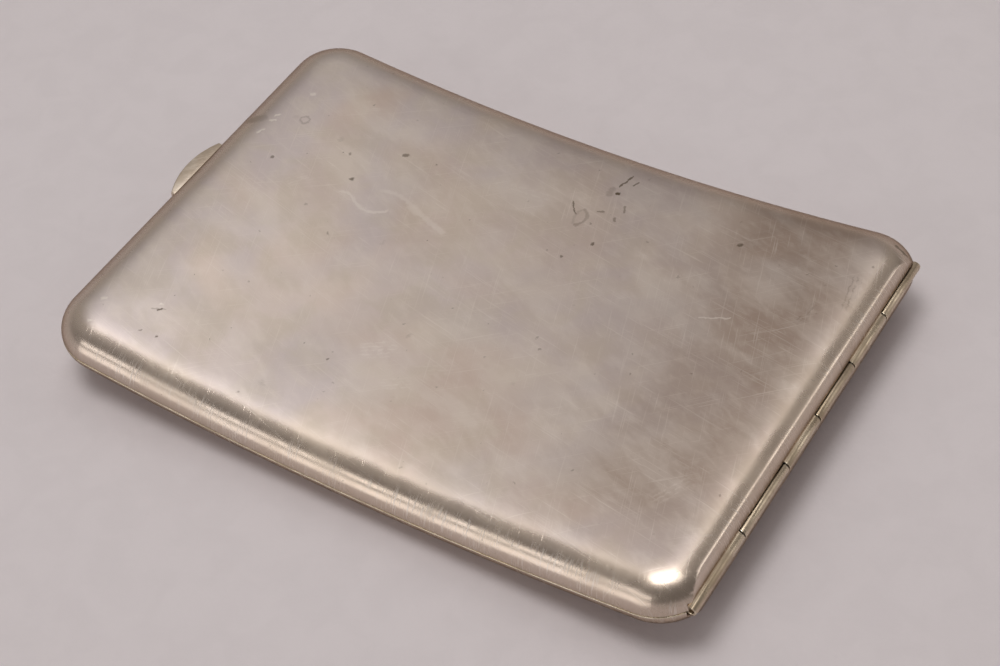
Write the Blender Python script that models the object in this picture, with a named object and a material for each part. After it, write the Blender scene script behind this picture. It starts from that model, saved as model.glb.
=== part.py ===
"""A curved pocket cigarette case in plated sheet metal, with a knuckle hinge and a sprung thumb catch.

The case lies on its convex back with the concave lid face up. Every piece is first shaped flat, in a
frame of three distances: s along the case from the middle towards the hinge, y along the hinge, and
w up from the seam between the two halves. bend() then rolls that frame round the case's long curve.
"""
import math

import bmesh
import bpy
from mathutils import Matrix, Vector

# Pressed shells
CASE_LENGTH = 0.1178
CASE_WIDTH = 0.080
SHELL_DEPTH = 0.0052
SHEET = 0.00065
CURVE_RADIUS = 0.395
FACE_CORNER_RADIUS = 0.0027
SHOULDER_WIDTH = 0.0060
CORNER_STEPS = 6
SHOULDER_STEPS = 6
STRIP_COUNT = 13

# Clearances
SEAM_GAP = 0.0002
SEAT_GAP = 0.0002
RUNNING_GAP = 0.0003
CUT_OVERRUN = 0.002
SAME_PLACE = 0.000003

# Hinge
HINGE_INSET = 0.00148
BARREL_END_INSET = 0.0035
BARREL_WALL = 0.00035
PIN_RADIUS = 0.0004
BORE_CLEARANCE = 0.0001
PIN_RECESS = 0.0012
KNUCKLE_SHARES = (0.200, 0.187, 0.138, 0.157, 0.151, 0.167)
BARREL_SEGMENTS = 20
BEARER_THICKNESS = 0.0006
BEARER_END_INSET = 0.0035
BEARER_HEIGHT = 0.0034

# Rim strip that stands up from the base and guides the lid
BEZEL_THICKNESS = 0.0005
BEZEL_RISE = 0.0008
BEZEL_DROP = 0.0012
BEZEL_HINGE_STOP = 0.012
BEZEL_MOUTH_GAP = 0.0010

# Thumb catch, placed by its distance in from the outside of the catch wall
CATCH_OFFSET = 0.0015
THUMB_WIDTH = 0.0142
THUMB_REACH = 0.0018
THUMB_THICKNESS = 0.0012
THUMB_FLOOR = 0.0010
THUMB_SHANK = 0.0016
THUMB_TRAVEL = 0.0010
THUMB_ARC_STEPS = 14
HOOK_FACE = 0.0026
HOOK_THICKNESS = 0.0006
HOOK_WIDTH = 0.0060
NOSE_REACH = 0.0004
NOSE_HEIGHT = 0.0006
NOSE_CLEARANCE = 0.00015
KEEPER_TOP = 0.0005
KEEPER_HEIGHT = 0.0007
KEEPER_SIDE_LAP = 0.0010
KEEPER_LEAD = 0.0002

# Leaf spring behind the thumb piece
LEAF_SIDE_ROOM = 0.0051
LEAF_THICKNESS = 0.00025
LEAF_HEIGHT = 0.0014
LEAF_FLOOR = 0.0009
LEAF_BOW = 0.0010
LEAF_END_PAD = 0.0028
LEAF_CENTRE_PAD = 0.0030
LEAF_STEPS = 6

# Screen between the catch and the cigarettes
COVER_SIDE_ROOM = 0.0026
COVER_THICKNESS = 0.0004
COVER_FLOOR = 0.0003

# Elastic band and the two clips that hold it
BAND_WIDTH = 0.0080
BAND_THICKNESS = 0.0007
BAND_TAIL = 0.0085
BAND_TAIL_RUN = 0.0020
BAND_BEND_STEPS = 6
CLIP_MARGIN = 0.00165
CLIP_LENGTH = 0.0025
CLIP_SHEET = 0.0005
CLIP_SIDE_GAP = 0.0005
CLIP_FLANGE = 0.0016

# Worked out from the sizes above
HALF_LENGTH = CASE_LENGTH / 2
HALF_WIDTH = CASE_WIDTH / 2
RIM = SEAM_GAP / 2
CORNER_RADIUS = SHOULDER_WIDTH + FACE_CORNER_RADIUS
STRAIGHT_HALF = HALF_LENGTH - CORNER_RADIUS
STRIP = 2 * STRAIGHT_HALF / STRIP_COUNT
REST_RISE = (CURVE_RADIUS + SHELL_DEPTH) * math.cos(STRIP / 2 / CURVE_RADIUS) - CURVE_RADIUS
HINGE_S = HALF_LENGTH - HINGE_INSET
BORE_RADIUS = PIN_RADIUS + BORE_CLEARANCE
BARREL_RADIUS = BORE_RADIUS + BARREL_WALL
BARREL_LENGTH = CASE_WIDTH - 2 * BARREL_END_INSET
BEARER_LENGTH = BARREL_LENGTH - 2 * BEARER_END_INSET
THUMB_TOP = THUMB_FLOOR + THUMB_THICKNESS
HOOK_BACK = HOOK_FACE + HOOK_THICKNESS
NOSE_FACE = HOOK_FACE - NOSE_REACH
KEEPER_FOOT = KEEPER_TOP + KEEPER_HEIGHT
KEEPER_WIDTH = HOOK_WIDTH + 2 * KEEPER_SIDE_LAP
NOSE_TOP = KEEPER_FOOT + SEAT_GAP
HOOK_DROP = NOSE_TOP + NOSE_HEIGHT
LEAF_LENGTH = THUMB_WIDTH + 2 * (LEAF_SIDE_ROOM + LEAF_END_PAD)
LEAF_TOP = LEAF_FLOOR + LEAF_HEIGHT
LEAF_MIDDLE = HOOK_BACK + SEAT_GAP + LEAF_THICKNESS / 2
LEAF_ENDS = LEAF_MIDDLE - LEAF_BOW
COVER_DEPTH = LEAF_MIDDLE + LEAF_THICKNESS / 2 + THUMB_TRAVEL + RUNNING_GAP
COVER_LENGTH = LEAF_LENGTH + 2 * (COVER_SIDE_ROOM + COVER_THICKNESS)
BEZEL_MOUTH = COVER_LENGTH + 2 * BEZEL_MOUTH_GAP
CLIP_POSITION = HALF_LENGTH - SHOULDER_WIDTH - CLIP_MARGIN - CLIP_LENGTH / 2


def bend(s, y, w):
    """Point of the flat frame, rolled round the long curve and set down on the case's back."""
    angle = s / CURVE_RADIUS
    radius = CURVE_RADIUS - w
    return Vector((radius * math.sin(angle), y, REST_RISE + CURVE_RADIUS - radius * math.cos(angle)))


def wall_inset(height, offset=0.0):
    """How far the shell wall has leaned in at a height above the seam, for a skin set in by offset."""
    share = min(abs(height) / (SHELL_DEPTH - offset), 1.0)
    return offset + (SHOULDER_WIDTH - offset) * (1 - math.sqrt(1 - share * share))


def catch_s(depth):
    """Place along the case of a depth in from the outside of the catch wall."""
    return depth - HALF_LENGTH


# Building blocks

def arc_points(centre_s, centre_y, radius, start, sweep, steps):
    """Points on an arc, its angles in quarter turns."""
    points = []
    for step in range(steps + 1):
        angle = (start + sweep * step / steps) * math.pi / 2
        points.append((centre_s + radius * math.cos(angle), centre_y + radius * math.sin(angle)))
    return points


def rounded_outline(offset):
    """Outline of the case seen from above, set in by offset, anticlockwise."""
    radius = CORNER_RADIUS - offset
    across = HALF_WIDTH - CORNER_RADIUS
    corners = ((1, -1), (1, 1), (-1, 1), (-1, -1))
    points = []
    for quarter, (side_s, side_y) in enumerate(corners):
        points += arc_points(side_s * STRAIGHT_HALF, side_y * across, radius, quarter - 1, 1, CORNER_STEPS)
    return points


def new_object(name, bm):
    """Turn a bmesh into a linked object."""
    bmesh.ops.recalc_face_normals(bm, faces=bm.faces)
    mesh = bpy.data.meshes.new(name)
    bm.to_mesh(mesh)
    bm.free()
    piece = bpy.data.objects.new(name, mesh)
    bpy.context.scene.collection.objects.link(piece)
    return piece


def extrude_outline(name, points, low, high):
    """Solid prism over an outline in s and y, from one height to another."""
    bm = bmesh.new()
    bm.faces.new([bm.verts.new((s, y, low)) for s, y in points])
    grown = bmesh.ops.extrude_face_region(bm, geom=bm.faces[:])
    lifted = [item for item in grown["geom"] if isinstance(item, bmesh.types.BMVert)]
    bmesh.ops.translate(bm, verts=lifted, vec=(0, 0, high - low))
    return new_object(name, bm)


def extrude_section(name, section, low, high):
    """Solid prism over a section in s and w, from one place along the hinge to another."""
    bm = bmesh.new()
    bm.faces.new([bm.verts.new((s, low, w)) for s, w in section])
    grown = bmesh.ops.extrude_face_region(bm, geom=bm.faces[:])
    moved = [item for item in grown["geom"] if isinstance(item, bmesh.types.BMVert)]
    bmesh.ops.translate(bm, verts=moved, vec=(0, high - low, 0))
    return new_object(name, bm)


def block(name, low, high):
    """Box between two corners."""
    outline = ((low[0], low[1]), (high[0], low[1]), (high[0], high[1]), (low[0], high[1]))
    return extrude_outline(name, outline, low[2], high[2])


def rod(name, radius, low, high):
    """Cylinder round the hinge axis, from one place along it to another."""
    turn = Matrix.Rotation(math.pi / 2, 4, "X")
    place = Matrix.Translation((HINGE_S, (low + high) / 2, 0)) @ turn
    size = {"radius1": radius, "radius2": radius, "depth": high - low}
    bm = bmesh.new()
    bmesh.ops.create_cone(bm, cap_ends=True, segments=BARREL_SEGMENTS, matrix=place, **size)
    return new_object(name, bm)


def combine(body, tool, operation):
    """Boolean one object with another, which is used up."""
    modifier = body.modifiers.new("combine", "BOOLEAN")
    modifier.operation = operation
    modifier.object = tool
    evaluated = body.evaluated_get(bpy.context.evaluated_depsgraph_get())
    mesh = bpy.data.meshes.new_from_object(evaluated)
    body.modifiers.remove(modifier)
    body.data = mesh
    bpy.data.objects.remove(tool)
    return body


def ribbon_outline(path, thickness):
    """Closed outline of a strip whose middle line follows a path."""
    left, right = [], []
    for index, point in enumerate(path):
        before = Vector(path[max(index - 1, 0)])
        after = Vector(path[min(index + 1, len(path) - 1)])
        here = Vector(point)
        into = (here - before).normalized() if index else (after - here).normalized()
        out = (after - here).normalized() if index < len(path) - 1 else into
        along = (into + out).normalized()
        reach = thickness / 2 / max(along.dot(into), math.cos(math.pi / 4))
        side = Vector((-along.y, along.x)) * reach
        left.append(tuple(here + side))
        right.append(tuple(here - side))
    return left + right[::-1]


def pressed_solid(name, offset, start):
    """Filled half of the case with its rounded shoulder, set in by offset, its hinge side cut flat."""
    depth = SHELL_DEPTH - offset
    width = SHOULDER_WIDTH - offset
    bm = bmesh.new()
    floor = bm.faces.new([bm.verts.new((s, y, start)) for s, y in rounded_outline(offset)])
    grown = bmesh.ops.extrude_face_region(bm, geom=[floor])
    top = next(item for item in grown["geom"] if isinstance(item, bmesh.types.BMFace))
    bmesh.ops.translate(bm, verts=top.verts[:], vec=(0, 0, RIM - start))
    first = math.asin(RIM / depth)
    inset, height = width * (1 - math.cos(first)), RIM
    for step in range(1, SHOULDER_STEPS + 1):
        angle = first + (math.pi / 2 - first) * step / SHOULDER_STEPS
        next_inset = width * (1 - math.cos(angle))
        next_height = depth * math.sin(angle)
        bmesh.ops.inset_region(
            bm, faces=[top], thickness=next_inset - inset, depth=next_height - height, use_even_offset=True
        )
        inset, height = next_inset, next_height
    flat = Vector((HINGE_S - offset, 0, 0))
    everything = bm.verts[:] + bm.edges[:] + bm.faces[:]
    bmesh.ops.bisect_plane(bm, geom=everything, plane_co=flat, plane_no=(1, 0, 0), clear_outer=True)
    rim = [edge for edge in bm.edges if edge.is_boundary]
    bmesh.ops.edgeloop_fill(bm, edges=rim)
    return new_object(name, bm)


def flip_down(piece):
    """Mirror a piece made for the lid to the base side of the seam."""
    piece.data.transform(Matrix.Scale(-1, 4, (0, 0, 1)))
    piece.data.flip_normals()
    return piece


def cavity(side, gap):
    """Space inside one shell, kept a gap away from the sheet."""
    space = pressed_solid("space", SHEET + gap, -CUT_OVERRUN)
    return space if side > 0 else flip_down(space)


def clear_barrel(piece):
    """Cut a piece back from the hinge barrel, so that the other half's knuckles pass it."""
    reach = BARREL_LENGTH / 2 + RUNNING_GAP
    swept = rod("swept", BARREL_RADIUS + RUNNING_GAP, -reach, reach)
    return combine(piece, swept, "DIFFERENCE")


def roll(piece):
    """Give a flat piece the case's long curve, in the same facets as the shells."""
    bm = bmesh.new()
    bm.from_mesh(piece.data)
    for index in range(STRIP_COUNT + 1):
        cut = Vector((STRIP * index - STRAIGHT_HALF, 0, 0))
        everything = bm.verts[:] + bm.edges[:] + bm.faces[:]
        bmesh.ops.bisect_plane(bm, geom=everything, plane_co=cut, plane_no=(1, 0, 0), dist=SAME_PLACE)
    bmesh.ops.triangulate(bm, faces=bm.faces[:])
    for vert in bm.verts:
        vert.co = bend(*vert.co)
    bm.to_mesh(piece.data)
    bm.free()
    return piece


# Materials and placing

def make_material(name, colour, roughness, metallic):
    """Plain Principled material."""
    material = bpy.data.materials.new(name)
    material.use_nodes = True
    shader = material.node_tree.nodes["Principled BSDF"]
    shader.inputs["Base Color"].default_value = (*colour, 1.0)
    shader.inputs["Roughness"].default_value = roughness
    shader.inputs["Metallic"].default_value = metallic
    return material


def make_materials():
    """The finishes of the case, by name."""
    return {
        "plate": make_material("silver_plate", (0.64, 0.57, 0.53), 0.34, 1.0),
        "hinge": make_material("worn_hinge_metal", (0.68, 0.58, 0.41), 0.38, 1.0),
        "gilt": make_material("gilt_fittings", (0.74, 0.60, 0.36), 0.34, 1.0),
        "spring": make_material("spring_steel", (0.52, 0.52, 0.53), 0.28, 1.0),
        "elastic": make_material("elastic_web", (0.46, 0.36, 0.22), 0.85, 0.0),
    }


def make_pivot(name, position, parent=None):
    """Empty that a moving group turns or slides on."""
    pivot = bpy.data.objects.new(name, None)
    bpy.context.scene.collection.objects.link(pivot)
    pivot.location = position - (parent.location if parent else Vector((0, 0, 0)))
    pivot.parent = parent
    return pivot


def fix_to(pivot, position, pieces, material):
    """Hang pieces on a pivot without moving them, and give them their material."""
    for piece in pieces:
        piece.data.transform(Matrix.Translation(-position))
        piece.parent = pivot
        piece.data.materials.clear()
        piece.data.materials.append(material)
        piece.data.shade_smooth()
        piece.data.set_sharp_from_angle(angle=math.radians(30))


# Shells, rim strips and hinge

def make_shell(name, side):
    """One pressed half of the case."""
    shell = pressed_solid(name, 0, RIM)
    hollow = pressed_solid("hollow", SHEET, -CUT_OVERRUN)
    combine(shell, hollow, "DIFFERENCE")
    if side > 0:
        slot_half = THUMB_WIDTH / 2 + RUNNING_GAP
        slot_top = THUMB_TOP + RUNNING_GAP
        slot_depth = wall_inset(slot_top, SHEET) + CUT_OVERRUN
        low = (catch_s(-CUT_OVERRUN), CATCH_OFFSET - slot_half, THUMB_FLOOR - RUNNING_GAP)
        high = (catch_s(slot_depth), CATCH_OFFSET + slot_half, slot_top)
        combine(shell, block("thumb_slot", low, high), "DIFFERENCE")
    else:
        flip_down(shell)
    return roll(clear_barrel(shell))


def make_bearer(name, side):
    """Strip inside the hinge wall of one half, which carries its knuckles."""
    outer = HINGE_S - SHEET - SEAT_GAP
    low = (outer - BEARER_THICKNESS, -BEARER_LENGTH / 2, RIM)
    high = (outer, BEARER_LENGTH / 2, BEARER_HEIGHT)
    bearer = block(name, low, high)
    if side < 0:
        flip_down(bearer)
    combine(bearer, cavity(side, SEAT_GAP), "INTERSECT")
    return roll(clear_barrel(bearer))


def make_knuckles():
    """Hinge barrel as tubes that belong to the lid and the base in turn, from the near end."""
    lid, base = [], []
    start = -BARREL_LENGTH / 2
    for index, share in enumerate(KNUCKLE_SHARES):
        end = start + share * BARREL_LENGTH
        low = start + (RUNNING_GAP / 2 if index else 0)
        high = end - (RUNNING_GAP / 2 if index < len(KNUCKLE_SHARES) - 1 else 0)
        family, half = (lid, "lid") if index % 2 == 0 else (base, "base")
        tube = rod(f"{half}_knuckle_{len(family) + 1}", BARREL_RADIUS, low, high)
        bore = rod("bore", BORE_RADIUS, low - CUT_OVERRUN, high + CUT_OVERRUN)
        family.append(roll(combine(tube, bore, "DIFFERENCE")))
        start = end
    return lid, base


def make_pin():
    """Hinge pin, sunk a little into both ends of the barrel."""
    reach = BARREL_LENGTH / 2 - PIN_RECESS
    return roll(rod("hinge_pin", PIN_RADIUS, -reach, reach))


def make_bezel(name, side):
    """Rim strip inside the base, from near the hinge round one catch corner to the catch."""
    face = wall_inset(max(BEZEL_DROP, BEZEL_RISE), SHEET) + SEAT_GAP
    stop_y = side * BEZEL_MOUTH / 2 + CATCH_OFFSET
    across = side * (HALF_WIDTH - CORNER_RADIUS)
    rows = []
    for inset in (face, face + BEZEL_THICKNESS):
        row = [(HINGE_S - BEZEL_HINGE_STOP, side * (HALF_WIDTH - inset))]
        row += arc_points(-STRAIGHT_HALF, across, CORNER_RADIUS - inset, side, side, CORNER_STEPS)
        row.append((inset - HALF_LENGTH, stop_y))
        rows.append(row)
    outline = rows[0] + rows[1][::-1]
    return roll(extrude_outline(name, outline, -BEZEL_DROP, BEZEL_RISE))


# Catch

def make_thumb_piece():
    """Crescent push plate in the lid's slot, with its shank, its hook down into the base and a nose."""
    half = THUMB_WIDTH / 2
    arc_radius = (half * half + THUMB_REACH * THUMB_REACH) / (2 * THUMB_REACH)
    spread = math.asin(half / arc_radius) / (math.pi / 2)
    centre = catch_s(arc_radius - THUMB_REACH)
    outline = arc_points(centre, CATCH_OFFSET, arc_radius, 2 - spread, 2 * spread, THUMB_ARC_STEPS)
    outline += [(catch_s(THUMB_SHANK), CATCH_OFFSET - half), (catch_s(THUMB_SHANK), CATCH_OFFSET + half)]
    plate = extrude_outline("thumb_piece", outline, THUMB_FLOOR, THUMB_TOP)
    section = [
        (catch_s(THUMB_SHANK / 2), THUMB_FLOOR),
        (catch_s(HOOK_FACE), THUMB_FLOOR),
        (catch_s(HOOK_FACE), -NOSE_TOP),
        (catch_s(NOSE_FACE), -NOSE_TOP),
        (catch_s(NOSE_FACE), -NOSE_TOP - NOSE_HEIGHT / 2),
        (catch_s(HOOK_FACE), -HOOK_DROP),
        (catch_s(HOOK_BACK), -HOOK_DROP),
        (catch_s(HOOK_BACK), THUMB_TOP),
        (catch_s(THUMB_SHANK / 2), THUMB_TOP),
    ]
    low, high = CATCH_OFFSET - HOOK_WIDTH / 2, CATCH_OFFSET + HOOK_WIDTH / 2
    hook = extrude_section("hook", section, low, high)
    return roll(combine(plate, hook, "UNION"))


def make_keeper():
    """Bar inside the base's catch wall that the hook's nose holds under."""
    back = wall_inset(KEEPER_FOOT, SHEET) + SEAT_GAP
    face = NOSE_FACE - NOSE_CLEARANCE
    section = [
        (catch_s(back), -KEEPER_FOOT),
        (catch_s(face), -KEEPER_FOOT),
        (catch_s(face), -KEEPER_TOP - KEEPER_LEAD),
        (catch_s(face - KEEPER_LEAD), -KEEPER_TOP),
        (catch_s(back), -KEEPER_TOP),
    ]
    low, high = CATCH_OFFSET - KEEPER_WIDTH / 2, CATCH_OFFSET + KEEPER_WIDTH / 2
    return roll(extrude_section("catch_keeper", section, low, high))


def make_leaf_spring():
    """Bowed leaf that bears on the hook and ends flat on its two blocks."""
    flat = LEAF_LENGTH / 2 - LEAF_END_PAD
    half_path = [(LEAF_ENDS, LEAF_LENGTH / 2)]
    for step in range(LEAF_STEPS + 1):
        share = step / LEAF_STEPS
        across = flat + (LEAF_CENTRE_PAD - flat) * share
        depth = LEAF_ENDS + LEAF_BOW * (1 - math.cos(math.pi * share)) / 2
        half_path.append((depth, across))
    path = [(catch_s(depth), CATCH_OFFSET - across) for depth, across in half_path]
    path += [(catch_s(depth), CATCH_OFFSET + across) for depth, across in half_path[::-1]]
    outline = ribbon_outline(path, LEAF_THICKNESS)
    return roll(extrude_outline("catch_leaf_spring", outline, LEAF_FLOOR, LEAF_TOP))


def make_spring_block(name, side):
    """Block on the lid's catch wall that one end of the leaf is fixed to."""
    ends = sorted((side * (LEAF_LENGTH / 2 - LEAF_END_PAD), side * LEAF_LENGTH / 2))
    low = (catch_s(0), CATCH_OFFSET + ends[0], LEAF_FLOOR)
    high = (catch_s(LEAF_ENDS - LEAF_THICKNESS / 2 - SEAT_GAP), CATCH_OFFSET + ends[1], LEAF_TOP)
    return roll(combine(block(name, low, high), cavity(1, SEAT_GAP), "INTERSECT"))


def make_cover():
    """Screen in the lid between the catch and the cigarettes, with its ends turned back to the wall."""
    half = COVER_LENGTH / 2
    outer = COVER_DEPTH + COVER_THICKNESS
    inner_half = half - COVER_THICKNESS
    corners = [
        (0, -half),
        (outer, -half),
        (outer, half),
        (0, half),
        (0, inner_half),
        (COVER_DEPTH, inner_half),
        (COVER_DEPTH, -inner_half),
        (0, -inner_half),
    ]
    outline = [(catch_s(depth), CATCH_OFFSET + across) for depth, across in corners]
    cover = extrude_outline("catch_cover", outline, COVER_FLOOR, SHELL_DEPTH)
    return roll(combine(cover, cavity(1, SEAT_GAP), "INTERSECT"))


# Band

def band_line():
    """Height of the band's middle line where it passes under a clip."""
    return SHEET - SHELL_DEPTH + SEAT_GAP + BAND_THICKNESS / 2


def make_clip(name, side):
    """Bridge on the base's floor that one end of the band is looped round."""
    floor = SHEET - SHELL_DEPTH + SEAT_GAP
    bar_foot = band_line() + BAND_THICKNESS / 2 + SEAT_GAP
    inner = BAND_WIDTH / 2 + CLIP_SIDE_GAP
    outer = inner + CLIP_SHEET
    flange = outer + CLIP_FLANGE
    half = [
        (flange, floor),
        (flange, floor + CLIP_SHEET),
        (outer, floor + CLIP_SHEET),
        (outer, bar_foot + CLIP_SHEET),
    ]
    under = [(inner, bar_foot), (inner, floor)]
    section = half + [(-y, w) for y, w in half[::-1]] + [(-y, w) for y, w in under[::-1]] + under
    bm = bmesh.new()
    start = side * CLIP_POSITION - CLIP_LENGTH / 2
    bm.faces.new([bm.verts.new((start, y, w)) for y, w in section])
    grown = bmesh.ops.extrude_face_region(bm, geom=bm.faces[:])
    moved = [item for item in grown["geom"] if isinstance(item, bmesh.types.BMVert)]
    bmesh.ops.translate(bm, verts=moved, vec=(CLIP_LENGTH, 0, 0))
    return roll(new_object(name, bm))


def make_band():
    """Elastic band drawn straight between the clips, each end looped round its clip and sewn back."""
    line = band_line()
    loop = (2 * SEAT_GAP + CLIP_SHEET + BAND_THICKNESS) / 2
    edge = CLIP_LENGTH / 2 + SEAT_GAP
    tail_line = line + BAND_THICKNESS + SEAT_GAP
    end_path = [(CLIP_POSITION - edge - BAND_TAIL, tail_line), (CLIP_POSITION - edge - BAND_TAIL_RUN, tail_line)]
    end_path.append((CLIP_POSITION - edge, line + 2 * loop))
    turn = arc_points(CLIP_POSITION + edge, line + loop, loop, 1, -2, BAND_BEND_STEPS)
    end_path += turn + [(CLIP_POSITION - edge, line)]
    bent = [bend(s, 0, w) for s, w in end_path]
    tail_height = bent[-1].z + BAND_THICKNESS + SEAT_GAP
    tail = [(point.x, tail_height) for point in bent[:2]] + [(point.x, point.z) for point in bent[2:]]
    path = tail + [(-x, z) for x, z in tail[::-1]]
    outline = ribbon_outline(path, BAND_THICKNESS)
    return extrude_section("elastic_band", outline, -BAND_WIDTH / 2, BAND_WIDTH / 2)


def build_case():
    """Make every piece and hang it on its pivot."""
    for leftover in list(bpy.data.objects):
        bpy.data.objects.remove(leftover)
    finish = make_materials()
    origin = Vector((0, 0, 0))
    hinge_axis = bend(HINGE_S, 0, 0)
    slide_axis = bend(-HALF_LENGTH, CATCH_OFFSET, THUMB_FLOOR + THUMB_THICKNESS / 2)
    base_pivot = make_pivot("base_origin", origin)
    lid_pivot = make_pivot("lid_pivot", hinge_axis)
    thumb_pivot = make_pivot("thumb_slide", slide_axis, lid_pivot)

    lid_knuckles, base_knuckles = make_knuckles()
    fix_to(base_pivot, origin, [make_shell("base_shell", -1)], finish["plate"])
    fix_to(lid_pivot, hinge_axis, [make_shell("lid_shell", 1)], finish["plate"])
    bezels = [make_bezel("bezel_strip_near", -1), make_bezel("bezel_strip_far", 1)]
    clips = [make_clip("band_clip_catch", -1), make_clip("band_clip_hinge", 1)]
    base_fittings = bezels + clips + [make_keeper(), make_bearer("base_hinge_bearer", -1)]
    fix_to(base_pivot, origin, base_fittings, finish["gilt"])
    fix_to(base_pivot, origin, base_knuckles, finish["hinge"])
    fix_to(base_pivot, origin, [make_pin()], finish["spring"])
    fix_to(base_pivot, origin, [make_band()], finish["elastic"])
    blocks = [make_spring_block("spring_block_near", -1), make_spring_block("spring_block_far", 1)]
    lid_fittings = blocks + [make_cover(), make_bearer("lid_hinge_bearer", 1)]
    fix_to(lid_pivot, hinge_axis, lid_fittings, finish["gilt"])
    fix_to(lid_pivot, hinge_axis, lid_knuckles, finish["hinge"])
    fix_to(lid_pivot, hinge_axis, [make_leaf_spring()], finish["spring"])
    fix_to(thumb_pivot, slide_axis, [make_thumb_piece()], finish["plate"])


build_case()
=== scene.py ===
"""Dressed model of a curved pocket cigarette case: worn plated shells, hinge, catch, rim strips and band.

Each piece is shaped flat, in a frame of s along the case, y along the hinge and w up from the seam,
and is then rolled round the case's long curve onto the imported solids. Lengths are in metres.
"""
import logging
import math
from contextlib import contextmanager
from dataclasses import dataclass
from enum import Enum
from typing import Callable, Iterator, Sequence

import bmesh
import bpy
import numpy as np
from mathutils import Matrix, Vector


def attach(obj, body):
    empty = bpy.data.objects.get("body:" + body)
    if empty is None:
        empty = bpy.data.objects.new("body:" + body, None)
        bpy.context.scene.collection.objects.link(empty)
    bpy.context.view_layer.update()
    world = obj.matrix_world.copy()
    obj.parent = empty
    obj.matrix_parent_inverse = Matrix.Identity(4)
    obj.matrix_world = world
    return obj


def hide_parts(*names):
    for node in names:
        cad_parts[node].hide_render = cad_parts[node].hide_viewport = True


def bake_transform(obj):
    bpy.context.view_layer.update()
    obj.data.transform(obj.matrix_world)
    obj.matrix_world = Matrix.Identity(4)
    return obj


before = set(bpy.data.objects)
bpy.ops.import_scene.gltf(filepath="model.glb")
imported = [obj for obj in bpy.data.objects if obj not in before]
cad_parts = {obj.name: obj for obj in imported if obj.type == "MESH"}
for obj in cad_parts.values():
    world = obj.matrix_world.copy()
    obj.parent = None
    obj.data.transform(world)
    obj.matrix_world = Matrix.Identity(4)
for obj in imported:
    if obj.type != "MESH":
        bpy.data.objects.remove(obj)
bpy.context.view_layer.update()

LOG = logging.getLogger("cigarette_case")
MILLIMETRE = 0.001
FINE = 1e-7
CLOSE = 1e-6
FLAT_ANGLE = 0.4
SOFT_ANGLE = 40.0
SMOOTH_ANGLE = 35.0
LEVEL = (1.0, 1.0, 0.0)
FLAT_PLACE = "laid_flat"
Colour = tuple[float, float, float]
Point = tuple[float, float, float]
Spot = tuple[float, float]
Span = tuple[float, float]
Socket = bpy.types.NodeSocket
Node = bpy.types.Node
Tree = bpy.types.NodeTree
Material = bpy.types.Material


# Sizes

@dataclass(frozen=True)
class CaseForm:
    """Sizes of the case that several pieces share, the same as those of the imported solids."""

    length: float = 0.1178
    width: float = 0.080
    depth: float = 0.0052
    sheet: float = 0.00065
    curve: float = 0.395
    shoulder: float = 0.0060
    face_corner: float = 0.0027
    rim: float = 0.0001
    seat_gap: float = 0.0002
    running_gap: float = 0.0003
    hinge_inset: float = 0.00148
    facet_count: int = 13
    catch_offset: float = 0.0015

    @property
    def half_length(self) -> float:
        """Half of the case's pressed length."""
        return self.length / 2

    @property
    def half_width(self) -> float:
        """Half of the case's width along the hinge."""
        return self.width / 2

    @property
    def corner(self) -> float:
        """Radius of the corners at the seam."""
        return self.shoulder + self.face_corner

    @property
    def hinge_s(self) -> float:
        """Place of the flat hinge wall and of the barrel's axis."""
        return self.half_length - self.hinge_inset

    @property
    def rise(self) -> float:
        """Height of the seam's middle above the surface that the case rests on."""
        facet = 2 * (self.half_length - self.corner) / self.facet_count
        return (self.curve + self.depth) * math.cos(facet / 2 / self.curve) - self.curve

    def catch_s(self, depth: float) -> float:
        """Place along the case of a depth in from the outside of the catch wall."""
        return depth - self.half_length

    def wall_inset(self, height: float, offset: float = 0.0) -> float:
        """How far the shell's wall leans in at a height above the seam, for a skin set in by offset."""
        share = min(abs(height) / (self.depth - offset), 1.0)
        return offset + (self.shoulder - offset) * (1 - math.sqrt(1 - share * share))

    def bend(self, points: np.ndarray) -> np.ndarray:
        """Roll points of the flat frame round the long curve.

        Args:
            points: one row of s, y and w for each point.

        Returns:
            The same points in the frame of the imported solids, none below the resting surface.
        """
        angle = points[:, 0] / self.curve
        radius = self.curve - points[:, 2]
        height = self.rise + self.curve - radius * np.cos(angle)
        return np.column_stack((radius * np.sin(angle), points[:, 1], np.maximum(height, 0.0)))

    def bend_point(self, s: float, y: float, w: float) -> Vector:
        """One point of the flat frame, rolled."""
        return Vector(self.bend(np.array([[s, y, w]]))[0])


# Bench

class Part(Enum):
    """What a pick selects in edit mode."""

    CORNER = "VERT"
    EDGE = "EDGE"
    FACE = "FACE"


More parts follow.
